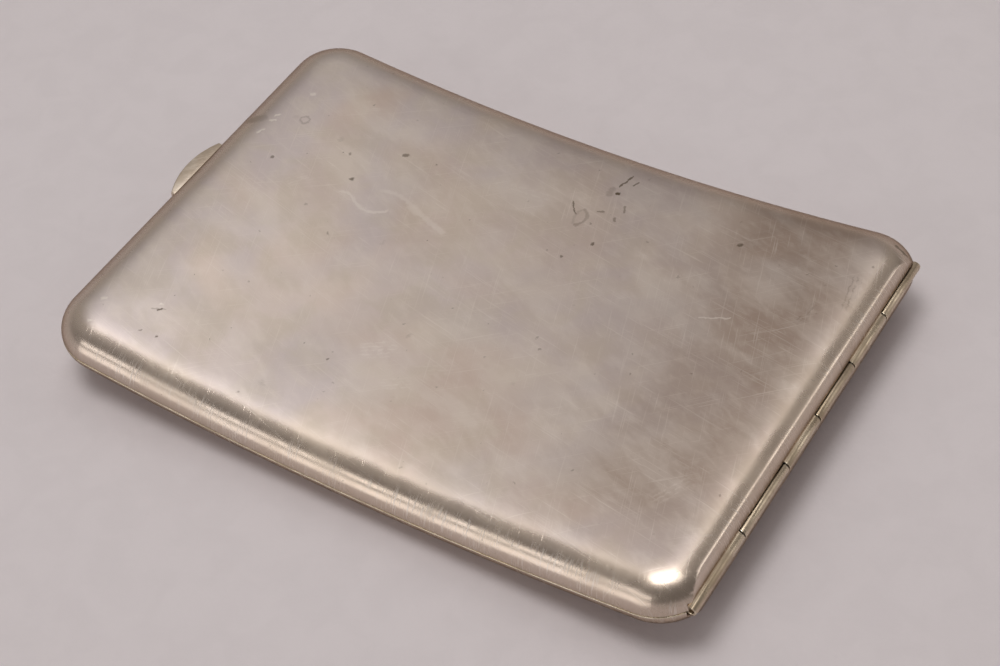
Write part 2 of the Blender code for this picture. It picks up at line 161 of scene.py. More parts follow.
class Workpiece:
    """One mesh on the bench, shaped with Blender's own tools."""

    def __init__(self, obj: bpy.types.Object) -> None:
        """Wrap an object that is in the scene."""
        self.obj = obj

    @classmethod
    def adopt(cls, name: str) -> "Workpiece":
        """Name the primitive that was just added and put its place into its mesh."""
        obj = bpy.context.active_object
        obj.name = obj.data.name = name
        piece = cls(obj)
        piece.settle()
        return piece

    @classmethod
    def plate(cls, name: str, low: Spot, high: Spot, height: float) -> "Workpiece":
        """Flat rectangle between two corners, at a height."""
        middle = ((low[0] + high[0]) / 2, (low[1] + high[1]) / 2, height)
        bpy.ops.mesh.primitive_plane_add(size=1, location=middle)
        bpy.context.active_object.scale = (high[0] - low[0], high[1] - low[1], 1)
        return cls.adopt(name)

    @classmethod
    def block(cls, name: str, low: Point, high: Point) -> "Workpiece":
        """Box between two corners."""
        bpy.ops.mesh.primitive_cube_add(size=1, location=(Vector(low) + Vector(high)) / 2)
        bpy.context.active_object.scale = Vector(high) - Vector(low)
        return cls.adopt(name)

    @classmethod
    def rod(
        cls, name: str, radius: float, low: float, high: float, centre: Spot, sides: int
    ) -> "Workpiece":
        """Cylinder along the hinge direction, its axis through a place in s and w, no corner above it."""
        bpy.ops.mesh.primitive_cylinder_add(
            vertices=sides,
            radius=radius,
            depth=high - low,
            location=(centre[0], (low + high) / 2, centre[1]),
            rotation=(math.pi / 2, math.pi / sides, 0),
        )
        return cls.adopt(name)

    @classmethod
    def bar(cls, name: str, outline: Sequence[Spot], low: float, high: float) -> "Workpiece":
        """Bar along the hinge direction.

        Args:
            name: name of the piece.
            outline: corners of its section in s and w.
            low: place of its near end.
            high: place of its far end.

        Returns:
            The closed bar.
        """
        bpy.ops.mesh.primitive_circle_add(vertices=len(outline), radius=1, fill_type="NGON")
        piece = cls.adopt(name)
        for corner, (s, w) in zip(piece.obj.data.vertices, outline):
            corner.co = (s, low, w)
        with piece.editing():
            bpy.ops.mesh.select_all(action="SELECT")
            piece.extrude((0, high - low, 0))
            piece.face_outwards()
        return piece

    @classmethod
    def disc(
        cls, name: str, radius: float, low: float, high: float, centre: Spot, sides: int
    ) -> "Workpiece":
        """Upright cylinder between two heights, its axis through a place in s and y."""
        bpy.ops.mesh.primitive_cylinder_add(
            vertices=sides, radius=radius, depth=high - low, location=(*centre, (low + high) / 2)
        )
        return cls.adopt(name)

    @classmethod
    def copy_of(cls, name: str, node: str) -> "Workpiece":
        """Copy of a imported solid, its loose triangles merged and its flat faces made whole."""
        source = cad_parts[node]
        obj = bpy.data.objects.new(name, source.data.copy())
        bpy.context.scene.collection.objects.link(obj)
        obj.data.materials.clear()
        piece = cls(obj)
        with piece.editing():
            bpy.ops.mesh.select_all(action="SELECT")
            bpy.ops.mesh.remove_doubles(threshold=CLOSE)
            bpy.ops.mesh.dissolve_limited(angle_limit=math.radians(FLAT_ANGLE))
        return piece

    @classmethod
    def ribbon(cls, name: str, path: Sequence[Vector], across: Vector, thickness: float) -> "Workpiece":
        """Strip of even thickness along a path.

        Args:
            name: name of the piece.
            path: points of the strip's middle line.
            across: the strip's width as a vector, at right angles to the path.
            thickness: thickness of the strip.

        Returns:
            The closed strip, not yet rolled.
        """
        run = path[1] - path[0]
        ahead, side = run.normalized(), across.normalized()
        frame_of_strip = Matrix((ahead * run.length, across, ahead.cross(side))).transposed().to_4x4()
        frame_of_strip.translation = (path[0] + path[1]) / 2
        bpy.ops.mesh.primitive_plane_add(size=1)
        bpy.context.active_object.matrix_world = frame_of_strip
        strip = cls.adopt(name)
        with strip.editing():
            strip.pick(Part.EDGE, lambda edge: (middle_of(edge) - path[1]).length < CLOSE)
            for here, after in zip(path[1:], path[2:]):
                strip.extrude(after - here)
        strip.apply("SOLIDIFY", thickness=thickness, offset=0.0, use_even_offset=True)
        return strip

    def hold(self) -> None:
        """Make this the only selected object, and the active one."""
        bpy.ops.object.select_all(action="DESELECT")
        self.obj.select_set(True)
        bpy.context.view_layer.objects.active = self.obj

    def settle(self) -> None:
        """Move the object's place, turn and scale into its mesh."""
        self.hold()
        bpy.ops.object.transform_apply(location=True, rotation=True, scale=True)

    @contextmanager
    def editing(self) -> Iterator[None]:
        """Stay in edit mode for a while, starting with nothing selected."""
        self.hold()
        bpy.ops.object.mode_set(mode="EDIT")
        bpy.ops.mesh.select_all(action="DESELECT")
        try:
            yield
        finally:
            bpy.ops.object.mode_set(mode="OBJECT")

    def pick(self, part: Part, test: Callable[..., bool]) -> int:
        """Select, in edit mode, the corners, edges or faces that pass a test.

        Args:
            part: what to select.
            test: takes one corner, edge or face and says whether it is wanted.

        Returns:
            How many were selected.
        """
        bpy.ops.mesh.select_mode(type=part.value)
        bpy.ops.mesh.select_all(action="DESELECT")
        sheet = bmesh.from_edit_mesh(self.obj.data)
        pool = {Part.CORNER: sheet.verts, Part.EDGE: sheet.edges, Part.FACE: sheet.faces}[part]
        chosen = [item for item in pool if test(item)]
        for item in chosen:
            item.select_set(True)
        sheet.select_flush_mode()
        bmesh.update_edit_mesh(self.obj.data)
        return len(chosen)

    def cut(self, place: Point, facing: Point, clear: bool = False, fill: bool = False) -> None:
        """Cut the mesh along a plane in edit mode; clear what it faces and fill the hole if asked."""
        bpy.ops.mesh.select_all(action="SELECT")
        bpy.ops.mesh.bisect(
            plane_co=place, plane_no=facing, clear_outer=clear, use_fill=fill, threshold=FINE
        )

    @staticmethod
    def extrude(push: Point | Vector) -> None:
        """Extrude what is selected in edit mode."""
        move = {"value": push, "orient_type": "GLOBAL"}
        bpy.ops.mesh.extrude_region_move(TRANSFORM_OT_translate=move)

    @staticmethod
    def face_outwards() -> None:
        """Turn all faces of the closed mesh in edit mode outwards."""
        bpy.ops.mesh.select_all(action="SELECT")
        bpy.ops.mesh.normals_make_consistent(inside=False)

    def round_corners(self, radius: float, steps: int) -> None:
        """Round the corners of a plate in edit mode, and leave its face selected."""
        self.pick(Part.CORNER, lambda corner: True)
        bpy.ops.mesh.bevel(offset=radius, segments=steps, affect="VERTICES", clamp_overlap=False)
        self.pick(Part.FACE, lambda face: True)

    def slice_lengthwise(self, step: float) -> None:
        """Cut the piece at even steps along the case, so that it can take the long curve."""
        places = [corner.co.x for corner in self.obj.data.vertices]
        first, last = math.ceil(min(places) / step), math.floor(max(places) / step)
        with self.editing():
            for index in range(first, last + 1):
                self.cut((index * step, 0, 0), (1, 0, 0))

    def apply(self, kind: str, **settings: object) -> None:
        """Add a modifier with its settings and apply it."""
        self.hold()
        modifier = self.obj.modifiers.new(kind.lower(), kind)
        for name, value in settings.items():
            setattr(modifier, name, value)
        bpy.ops.object.modifier_apply(modifier=modifier.name)

    def combine(self, tool: "Workpiece", operation: str) -> None:
        """Boolean this piece with another one, which is used up."""
        self.apply("BOOLEAN", operation=operation, object=tool.obj, solver="EXACT")
        bpy.data.objects.remove(tool.obj)

    def weld(self, distance: float) -> None:
        """Merge corners that lie within a distance of each other."""
        with self.editing():
            bpy.ops.mesh.select_all(action="SELECT")
            bpy.ops.mesh.remove_doubles(threshold=distance)

    def soften(
        self, width: float, segments: int = 2, angle: float = SOFT_ANGLE, material: int = -1
    ) -> None:
        """Round the edges that are sharper than an angle in degrees, in a material of their own if asked."""
        self.apply(
            "BEVEL",
            width=width,
            segments=segments,
            limit_method="ANGLE",
            angle_limit=math.radians(angle),
            use_clamp_overlap=False,
            material=material,
        )

    def roll(self, form: CaseForm) -> None:
        """Give the flat piece the case's long curve; an attribute keeps its flat place in millimetres."""
        mesh = self.obj.data
        points = np.empty(len(mesh.vertices) * 3, dtype=np.float32)
        mesh.vertices.foreach_get("co", points)
        points = points.reshape(-1, 3).astype(float)
        flat = mesh.attributes.new(FLAT_PLACE, "FLOAT_VECTOR", "POINT")
        flat.data.foreach_set("vector", (points / MILLIMETRE).astype(np.float32).ravel())
        mesh.vertices.foreach_set("co", form.bend(points).astype(np.float32).ravel())
        mesh.update()

    def smooth(self, angle: float = SMOOTH_ANGLE) -> None:
        """Shade the piece smooth, apart from edges sharper than an angle in degrees."""
        self.hold()
        bpy.ops.object.shade_smooth_by_angle(angle=math.radians(angle))

    def paint(self, *materials: Material) -> None:
        """Give the piece its materials, the first one for all faces unless their index says otherwise."""
        self.obj.data.materials.clear()
        for material in materials:
            self.obj.data.materials.append(material)

    def seat(self, body: str, slot: str, *nodes: str) -> None:
        """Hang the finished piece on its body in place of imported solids, and report it."""
        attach(self.obj, body)
        self.label(slot, *nodes)

    def dress(
        self, material: Material, body: str, slot: str, *nodes: str, angle: float = SMOOTH_ANGLE
    ) -> None:
        """Paint a piece of one material, smooth it up to an angle and seat it."""
        self.paint(material)
        self.smooth(angle)
        self.seat(body, slot, *nodes)

    def label(self, slot: str, *nodes: str) -> None:
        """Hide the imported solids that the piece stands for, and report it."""
        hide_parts(*nodes)
        stands_for = ", ".join(nodes) or "nothing packed"
        LOG.info("%s: %d faces, for %s", self.obj.name, len(self.obj.data.polygons), stands_for)


def middle_of(item: bmesh.types.BMEdge | bmesh.types.BMFace) -> Vector:
    """Middle of an edge or a face."""
    return sum((corner.co for corner in item.verts), Vector()) / len(item.verts)


def make_fitting(
    node: str, kind: str, body: str, gilt: Material, width: float, segments: int = 2
) -> None:
    """Make a small gilt fitting as packed, with its edges broken.

    Args:
        node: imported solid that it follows.
        kind: what it is, for its name.
        body: body that it rides on.
        gilt: its finish.
        width: width of the broken edges.
        segments: how many faces stand for their roundness.
    """
    piece = Workpiece.copy_of(f"{node}_{kind}", node)
    piece.soften(width, segments)
    piece.dress(gilt, body, "gilt_fittings", node)


# Node trees

class Sketch:
    """Lays out one node tree. A value is a number, a tuple or another node's socket."""

    def __init__(self, tree: Tree) -> None:
        """Start on an empty or new tree."""
        self.tree = tree

    def feed(self, socket: Socket, value: object) -> None:
        """Link a socket, or set it where the value is plain."""
        if isinstance(value, Socket):
            self.tree.links.new(value, socket)
        else:
            socket.default_value = value

    def node(self, kind: str, feeds: dict | None = None, **settings: object) -> Node:
        """Add a node with its settings, its inputs fed by name or number."""
        made = self.tree.nodes.new(kind)
        for name, value in settings.items():
            setattr(made, name, value)
        for key, value in (feeds or {}).items():
            self.feed(made.inputs[key], value)
        return made

    def math(
        self, operation: str, first: object, second: object = 0.0, third: object = 0.0
    ) -> Socket:
        """Result of a Math node."""
        feeds = {0: first, 1: second, 2: third}
        return self.node("ShaderNodeMath", feeds, operation=operation).outputs[0]

    def plus(self, first: object, second: object) -> Socket:
        """Sum of two values."""
        return self.math("ADD", first, second)

    def times(self, first: object, second: object) -> Socket:
        """Product of two values."""
        return self.math("MULTIPLY", first, second)

    def times_plus(self, first: object, second: object, third: object) -> Socket:
        """Product of two values, plus a third one."""
        return self.math("MULTIPLY_ADD", first, second, third)

    def larger(self, first: object, second: object) -> Socket:
        """The larger of two values."""
        return self.math("MAXIMUM", first, second)

    def weighted(self, start: object, *parts: tuple[object, object]) -> Socket:
        """Start value plus some values, each times its weight."""
        for value, weight in parts:
            start = self.times_plus(value, weight, start)
        return start

    def largest(self, *parts: tuple[object, object]) -> Socket:
        """Largest of some masks, each times its share."""
        found = 0.0
        for mask, share in parts:
            found = self.larger(found, self.times(mask, share))
        return found

    def vector(self, operation: str, first: object, second: object = (0, 0, 0)) -> Socket:
        """Vector result of a Vector Math node."""
        made = self.node("ShaderNodeVectorMath", {0: first, 1: second}, operation=operation)
        return made.outputs["Vector"]

    def measure(self, operation: str, first: object, second: object = (0, 0, 0)) -> Socket:
        """Number result of a Vector Math node, such as a length or a dot product."""
        made = self.node("ShaderNodeVectorMath", {0: first, 1: second}, operation=operation)
        return made.outputs["Value"]

    def object_place(self) -> Socket:
        """Object coordinates in millimetres."""
        source = self.node("ShaderNodeTexCoord").outputs["Object"]
        return self.vector("MULTIPLY", source, (1 / MILLIMETRE,) * 3)

    def ramp(
        self, value: object, start: object, end: object, low: object = 0.0, high: object = 1.0
    ) -> Socket:
        """Smooth step from low at start to high at end; start may lie above end."""
        feeds = {"Value": value, "From Min": start, "From Max": end, "To Min": low, "To Max": high}
        return self.node("ShaderNodeMapRange", feeds, interpolation_type="SMOOTHSTEP").outputs["Result"]

    def noise(self, place: object, scale: object, detail: float = 2.0, distortion: float = 0.0) -> Node:
        """Noise texture; its Factor and Color outputs are for the caller to pick."""
        feeds = {"Vector": place, "Scale": scale, "Detail": detail, "Distortion": distortion}
        return self.node("ShaderNodeTexNoise", feeds)

    def mix(self, share: object, first: object, second: object) -> Socket:
        """Colour with a share of the second one in the first."""
        feeds = {0: share, 6: as_colour(first), 7: as_colour(second)}
        return self.node("ShaderNodeMix", feeds, data_type="RGBA").outputs[2]

    def coats(self, tone: object, *coats: tuple[object, Colour]) -> Socket:
        """Colour under coats of other colours, each in its share."""
        for share, colour in coats:
            tone = self.mix(share, tone, colour)
        return tone

    def stretch(self, place: object, factors: Point, turn: float) -> Socket:
        """Place turned about w by an angle in degrees, then stretched."""
        feeds = {"Vector": place, "Rotation": (0, 0, math.radians(turn))}
        turned = self.node("ShaderNodeMapping", feeds, vector_type="POINT").outputs[0]
        return self.vector("MULTIPLY", turned, factors)

    def bump(self, height: object, strength: float, distance: float, normal: object = None) -> Socket:
        """Normal bent by a height, on top of another normal if there is one."""
        feeds = {"Height": height, "Strength": strength, "Distance": distance}
        if normal is not None:
            feeds["Normal"] = normal
        return self.node("ShaderNodeBump", feeds).outputs["Normal"]

    def group(self, tree: Tree, **feeds: object) -> Node:
        """Place a node group and wire it."""
        made = self.tree.nodes.new("ShaderNodeGroup")
        made.node_tree = tree
        self.wire(made, **feeds)
        return made

    def wire(self, node: Node, **feeds: object) -> None:
        """Feed a node's inputs by name, with spaces written as underscores."""
        for name, value in feeds.items():
            self.feed(node.inputs[name.replace("_", " ")], value)


def as_colour(value: object) -> object:
    """A plain colour with its fourth number, or the socket as it is."""
    return (*value, 1.0) if isinstance(value, tuple) and len(value) == 3 else value


def new_group(name: str, inputs: dict[str, str], outputs: dict[str, str]) -> tuple[Sketch, dict, dict]:
    """Start a shader node group.

    Args:
        name: name of the group.
        inputs: socket kind for each input name, Float or Vector.
        outputs: socket kind for each output name, Float, Vector or Color.

    Returns:
        The sketch of the group's tree, its input sockets by name and its output sockets by name.
    """
    tree = bpy.data.node_groups.new(name, "ShaderNodeTree")
    for names, way in ((inputs, "INPUT"), (outputs, "OUTPUT")):
        for socket, kind in names.items():
            tree.interface.new_socket(name=socket, in_out=way, socket_type=f"NodeSocket{kind}")
    given = tree.nodes.new("NodeGroupInput")
    wanted = tree.nodes.new("NodeGroupOutput")
    sources = {socket: given.outputs[socket] for socket in inputs}
    return Sketch(tree), sources, {socket: wanted.inputs[socket] for socket in outputs}


def new_material(name: str) -> tuple[Sketch, Node, Material]:
    """Start a node material and return its sketch, its shader node and itself."""
    material = bpy.data.materials.new(name)
    material.use_nodes = True
    return Sketch(material.node_tree), material.node_tree.nodes["Principled BSDF"], material


class Effects:
    """Shared effects, each one node group that reads a place in millimetres.

    A span holds the two ends of a ramp over a texture's values, and a core share says how much of a
    mark's size is at full strength.
    """

    blotch_scale: float = 3.1
    grain_scale: float = 26.0
    drift_scale: float = 0.8
    blotch_shift: Point = (37.0, 11.0, 5.0)
    drift_shift: Point = (-61.0, 83.0, 9.0)
    broad_span: Span = (0.34, 0.66)
    blotch_span: Span = (0.36, 0.66)
    drift_span: Span = (0.38, 0.62)
    hairline_floor: float = 0.66
    hairline_gain: float = 0.12
    hairline_edge: float = 0.07
    patch_scale: float = 0.13
    patch_span: Span = (0.35, 0.62)
    speck_least: float = 0.05
    speck_spread: float = 0.16
    speck_core_share: float = 0.4
    line_core_share: float = 0.35
    arc_core_share: float = 0.3
    arc_fade: float = 0.12
    hatch_core_share: float = 0.3
    hatch_line_span: Span = (0.1, 0.9)
    hatch_floor: float = 0.3
    hatch_wear_scale: float = 0.9
    hatch_wear_span: Span = (0.36, 0.6)
    cord_share: float = 0.55
    fibre_scale: float = 9.0

    def __init__(self) -> None:
        """Build every group once."""
        self.clouds = self.build_clouds()
        self.hairlines = self.build_hairlines()
        self.specks = self.build_specks()
        self.line = self.build_line()
        self.arc = self.build_arc()
        self.hatch = self.build_hatch()
        self.weave = self.build_weave()

    def hairline_mask(self, sketch: Sketch, place: object, patches: object, amount: float) -> Socket:
        """Mask of fine scratches along a stretched place, in patches of another place."""
        feeds = {"Place": place, "Patch_Place": patches, "Amount": amount}
        return sketch.group(self.hairlines, **feeds).outputs[0]

    def speck_mask(self, sketch: Sketch, place: object, spacing: float, amount: float) -> Socket:
        """Mask of scattered specks, in a share of the cells that lie about a spacing apart."""
        return sketch.group(self.specks, Place=place, Spacing=spacing, Share=amount).outputs[0]

    def build_clouds(self) -> Tree:
        """Slow clouds of tarnish: broad ones, blotches inside them and fine grain."""
        sketch, given, wanted = new_group(
            "tarnish_clouds",
            {"Place": "Vector", "Size": "Float"},
            {"Broad": "Float", "Blotch": "Float", "Grain": "Float", "Drift": "Float"},
        )
        scale = sketch.math("DIVIDE", 1.0, given["Size"])
        broad = sketch.noise(given["Place"], scale, 3.0, 0.5).outputs[0]
        moved = sketch.vector("ADD", given["Place"], self.blotch_shift)
        blotch = sketch.noise(moved, sketch.times(scale, self.blotch_scale), 4.0, 0.5).outputs[0]
        grain = sketch.noise(moved, sketch.times(scale, self.grain_scale), 3.0).outputs[0]
        far = sketch.vector("ADD", given["Place"], self.drift_shift)
        drift = sketch.noise(far, sketch.times(scale, self.drift_scale), 2.0, 0.6).outputs[0]
        sketch.feed(wanted["Broad"], sketch.ramp(broad, *self.broad_span))
        sketch.feed(wanted["Blotch"], sketch.ramp(blotch, *self.blotch_span))
        sketch.feed(wanted["Grain"], grain)
        sketch.feed(wanted["Drift"], sketch.ramp(drift, *self.drift_span))
        return sketch.tree

    def build_hairlines(self) -> Tree:
        """Fine scratches along one axis of a place that the material has already stretched."""
        sketch, given, wanted = new_group(
            "hairlines", {"Place": "Vector", "Patch Place": "Vector", "Amount": "Float"}, {"Mask": "Float"}
        )
        lines = sketch.noise(given["Place"], 1.0, 3.0).outputs[0]
        patches = sketch.noise(given["Patch Place"], self.patch_scale, 2.0, 0.4).outputs[0]
        gain = sketch.times(given["Amount"], self.hairline_gain)
        floor = sketch.math("SUBTRACT", self.hairline_floor, gain)
        thin = sketch.ramp(lines, floor, sketch.plus(floor, self.hairline_edge))
        sketch.feed(wanted["Mask"], sketch.times(thin, sketch.ramp(patches, *self.patch_span)))
        return sketch.tree

    def build_specks(self) -> Tree:
        """Small scattered specks, of which only a share of the cells hold one."""
        sketch, given, wanted = new_group(
            "specks", {"Place": "Vector", "Spacing": "Float", "Share": "Float"}, {"Mask": "Float"}
        )
        scale = sketch.math("DIVIDE", 1.0, given["Spacing"])
        cells = sketch.node("ShaderNodeTexVoronoi", {"Vector": given["Place"], "Scale": scale})
        chosen = sketch.node("ShaderNodeSeparateColor", {0: cells.outputs["Color"]})
        present = sketch.math("LESS_THAN", chosen.outputs[0], given["Share"])
        size = sketch.times_plus(chosen.outputs[1], self.speck_spread, self.speck_least)
        dot = sketch.ramp(cells.outputs["Distance"], size, sketch.times(size, self.speck_core_share))
        sketch.feed(wanted["Mask"], sketch.times(dot, present))
        return sketch.tree

    def build_line(self) -> Tree:
        """Mark along a straight run, or a pit where the run is nothing."""
        sketch, given, wanted = new_group(
            "line_mark",
            {"Place": "Vector", "Start": "Vector", "Run": "Vector", "Width": "Float"},
            {"Mask": "Float"},
        )
        away = sketch.vector("SUBTRACT", given["Place"], given["Start"])
        share = sketch.math(
            "DIVIDE",
            sketch.measure("DOT_PRODUCT", away, given["Run"]),
            sketch.measure("DOT_PRODUCT", given["Run"], given["Run"]),
        )
        held = sketch.math("MINIMUM", sketch.larger(share, 0.0), 1.0)
        feeds = {0: given["Run"], "Scale": held}
        reach = sketch.node("ShaderNodeVectorMath", feeds, operation="SCALE").outputs[0]
        distance = sketch.measure("LENGTH", sketch.vector("SUBTRACT", away, reach))
        core = sketch.times(given["Width"], self.line_core_share)
        sketch.feed(wanted["Mask"], sketch.ramp(distance, given["Width"], core))
        return sketch.tree

    def build_arc(self) -> Tree:
        """Mark along part of a circle, on the side that it faces."""
        sketch, given, wanted = new_group(
            "arc_mark",
            {"Place": "Vector", "Centre": "Vector", "Facing": "Vector", "Radius": "Float", "Spread": "Float",
             "Width": "Float"},
            {"Mask": "Float"},
        )
        away = sketch.vector("SUBTRACT", given["Place"], given["Centre"])
        past = sketch.math("SUBTRACT", sketch.measure("LENGTH", away), given["Radius"])
        core = sketch.times(given["Width"], self.arc_core_share)
        ring = sketch.ramp(sketch.math("ABSOLUTE", past), given["Width"], core)
        heading = sketch.measure("DOT_PRODUCT", sketch.vector("NORMALIZE", away), given["Facing"])
        ends = sketch.ramp(heading, given["Spread"], sketch.plus(given["Spread"], self.arc_fade))
        sketch.feed(wanted["Mask"], sketch.times(ring, ends))
        return sketch.tree

    def build_hatch(self) -> Tree:
        """Patch of close parallel scratches that fades out at its border."""
        sketch, given, wanted = new_group(
            "hatch_patch",
            {"Place": "Vector", "Centre": "Vector", "Along": "Vector", "Half Length": "Float",
             "Half Width": "Float", "Spacing": "Float"},
            {"Mask": "Float"},
        )
        away = sketch.vector("SUBTRACT", given["Place"], given["Centre"])
        along = sketch.measure("DOT_PRODUCT", away, given["Along"])
        side = sketch.vector("CROSS_PRODUCT", given["Along"], (0.0, 0.0, 1.0))
        across = sketch.measure("DOT_PRODUCT", away, side)
        turns = sketch.math("DIVIDE", sketch.times(across, math.tau), given["Spacing"])
        lines = sketch.ramp(sketch.math("SINE", turns), *self.hatch_line_span)
        patch = 1.0
        for distance, half in ((along, given["Half Length"]), (across, given["Half Width"])):
            core = sketch.times(half, self.hatch_core_share)
            patch = sketch.times(patch, sketch.ramp(sketch.math("ABSOLUTE", distance), half, core))
        worn = sketch.noise(given["Place"], self.hatch_wear_scale, 4.0).outputs[0]
        patch = sketch.times(patch, sketch.ramp(worn, *self.hatch_wear_span))
        drawn = sketch.times_plus(lines, 1.0 - self.hatch_floor, self.hatch_floor)
        sketch.feed(wanted["Mask"], sketch.times(drawn, patch))
        return sketch.tree

    def build_weave(self) -> Tree:
        """Woven elastic: rubber cords along the band with thread wound across them."""
        sketch, given, wanted = new_group(
            "elastic_weave",
            {"Place": "Vector", "Cord": "Float", "Thread": "Float"},
            {"Height": "Float", "Fibre": "Float"},
        )
        axes = sketch.node("ShaderNodeSeparateXYZ", {0: given["Place"]})
        cord_turn = sketch.math("DIVIDE", sketch.times(axes.outputs[1], math.tau), given["Cord"])
        thread_turn = sketch.math("DIVIDE", sketch.times(axes.outputs[0], math.tau), given["Thread"])
        wave = sketch.math("SINE", cord_turn)
        shift = sketch.times(sketch.math("SIGN", wave), math.pi / 2)
        threads = sketch.math("SINE", sketch.plus(thread_turn, shift))
        raised = sketch.times_plus(threads, 0.5, 0.5)
        cords = sketch.times(sketch.math("ABSOLUTE", wave), self.cord_share)
        sketch.feed(wanted["Height"], sketch.times_plus(raised, 1.0 - self.cord_share, cords))
        sketch.feed(wanted["Fibre"], sketch.noise(given["Place"], self.fibre_scale, 4.0).outputs[0])
        return sketch.tree


# Finishes

class Tone(Enum):
    """How a mark on the plate looks."""

    BRIGHT = "bright"
    DARK = "dark"


@dataclass(frozen=True)
class LineMark:
    """Straight scratch, dash or pit on the lid's face, its places in millimetres of s and y."""

    tone: Tone
    start: Spot
    end: Spot
    width: float
    strength: float = 1.0

    def mask(self, sketch: Sketch, effects: Effects, place: object) -> Socket:
        """Mask of the mark."""
        run = (self.end[0] - self.start[0], self.end[1] - self.start[1], 0.0)
        feeds = {"Place": place, "Start": (*self.start, 0.0), "Run": run, "Width": self.width}
        return sketch.times(sketch.group(effects.line, **feeds).outputs[0], self.strength)


@dataclass(frozen=True)
class ArcMark:
    """Curved scratch through three places, in millimetres of s and y."""

    tone: Tone
    start: Spot
    middle: Spot
    end: Spot
    width: float
    strength: float = 1.0

    def mask(self, sketch: Sketch, effects: Effects, place: object) -> Socket:
        """Mask of the mark, on the circle through its three places."""
        first, second, third = spots = [Vector(spot) for spot in (self.start, self.middle, self.end)]
        chords = (second - third, third - first, first - second)
        across = sum((spot.length_squared * chord for spot, chord in zip(spots, chords)), Vector((0, 0)))
        centre = Vector((across.y, -across.x)) / (2 * chords[2].cross(chords[0]))
        facing = (second - centre).normalized()
        spread = min((spot - centre).normalized().dot(facing) for spot in (first, third))
        feeds = {
            "Place": place,
            "Centre": (*centre, 0.0),
            "Facing": (*facing, 0.0),
            "Radius": (second - centre).length,
            "Spread": spread,
            "Width": self.width,
        }
        return sketch.times(sketch.group(effects.arc, **feeds).outputs[0], self.strength)


@dataclass(frozen=True)
class HatchMark:
    """Patch of close parallel scratches, in millimetres of s and y, its lines at an angle in degrees."""

    tone: Tone
    centre: Spot
    half_length: float
    half_width: float
    angle: float
    spacing: float
    strength: float = 1.0

    def mask(self, sketch: Sketch, effects: Effects, place: object) -> Socket:
        """Mask of the patch."""
        angle = math.radians(self.angle)
        feeds = {
            "Place": place,
            "Centre": (*self.centre, 0.0),
            "Along": (math.cos(angle), math.sin(angle), 0.0),
            "Half_Length": self.half_length,
            "Half_Width": self.half_width,
            "Spacing": self.spacing,
        }
        return sketch.times(sketch.group(effects.hatch, **feeds).outputs[0], self.strength)


def marks(kind: type, tone: Tone, rows: Sequence[tuple]) -> list[LineMark | ArcMark | HatchMark]:
    """Marks of one kind and tone, a row of the other values for each."""
    return [kind(tone, *row) for row in rows]


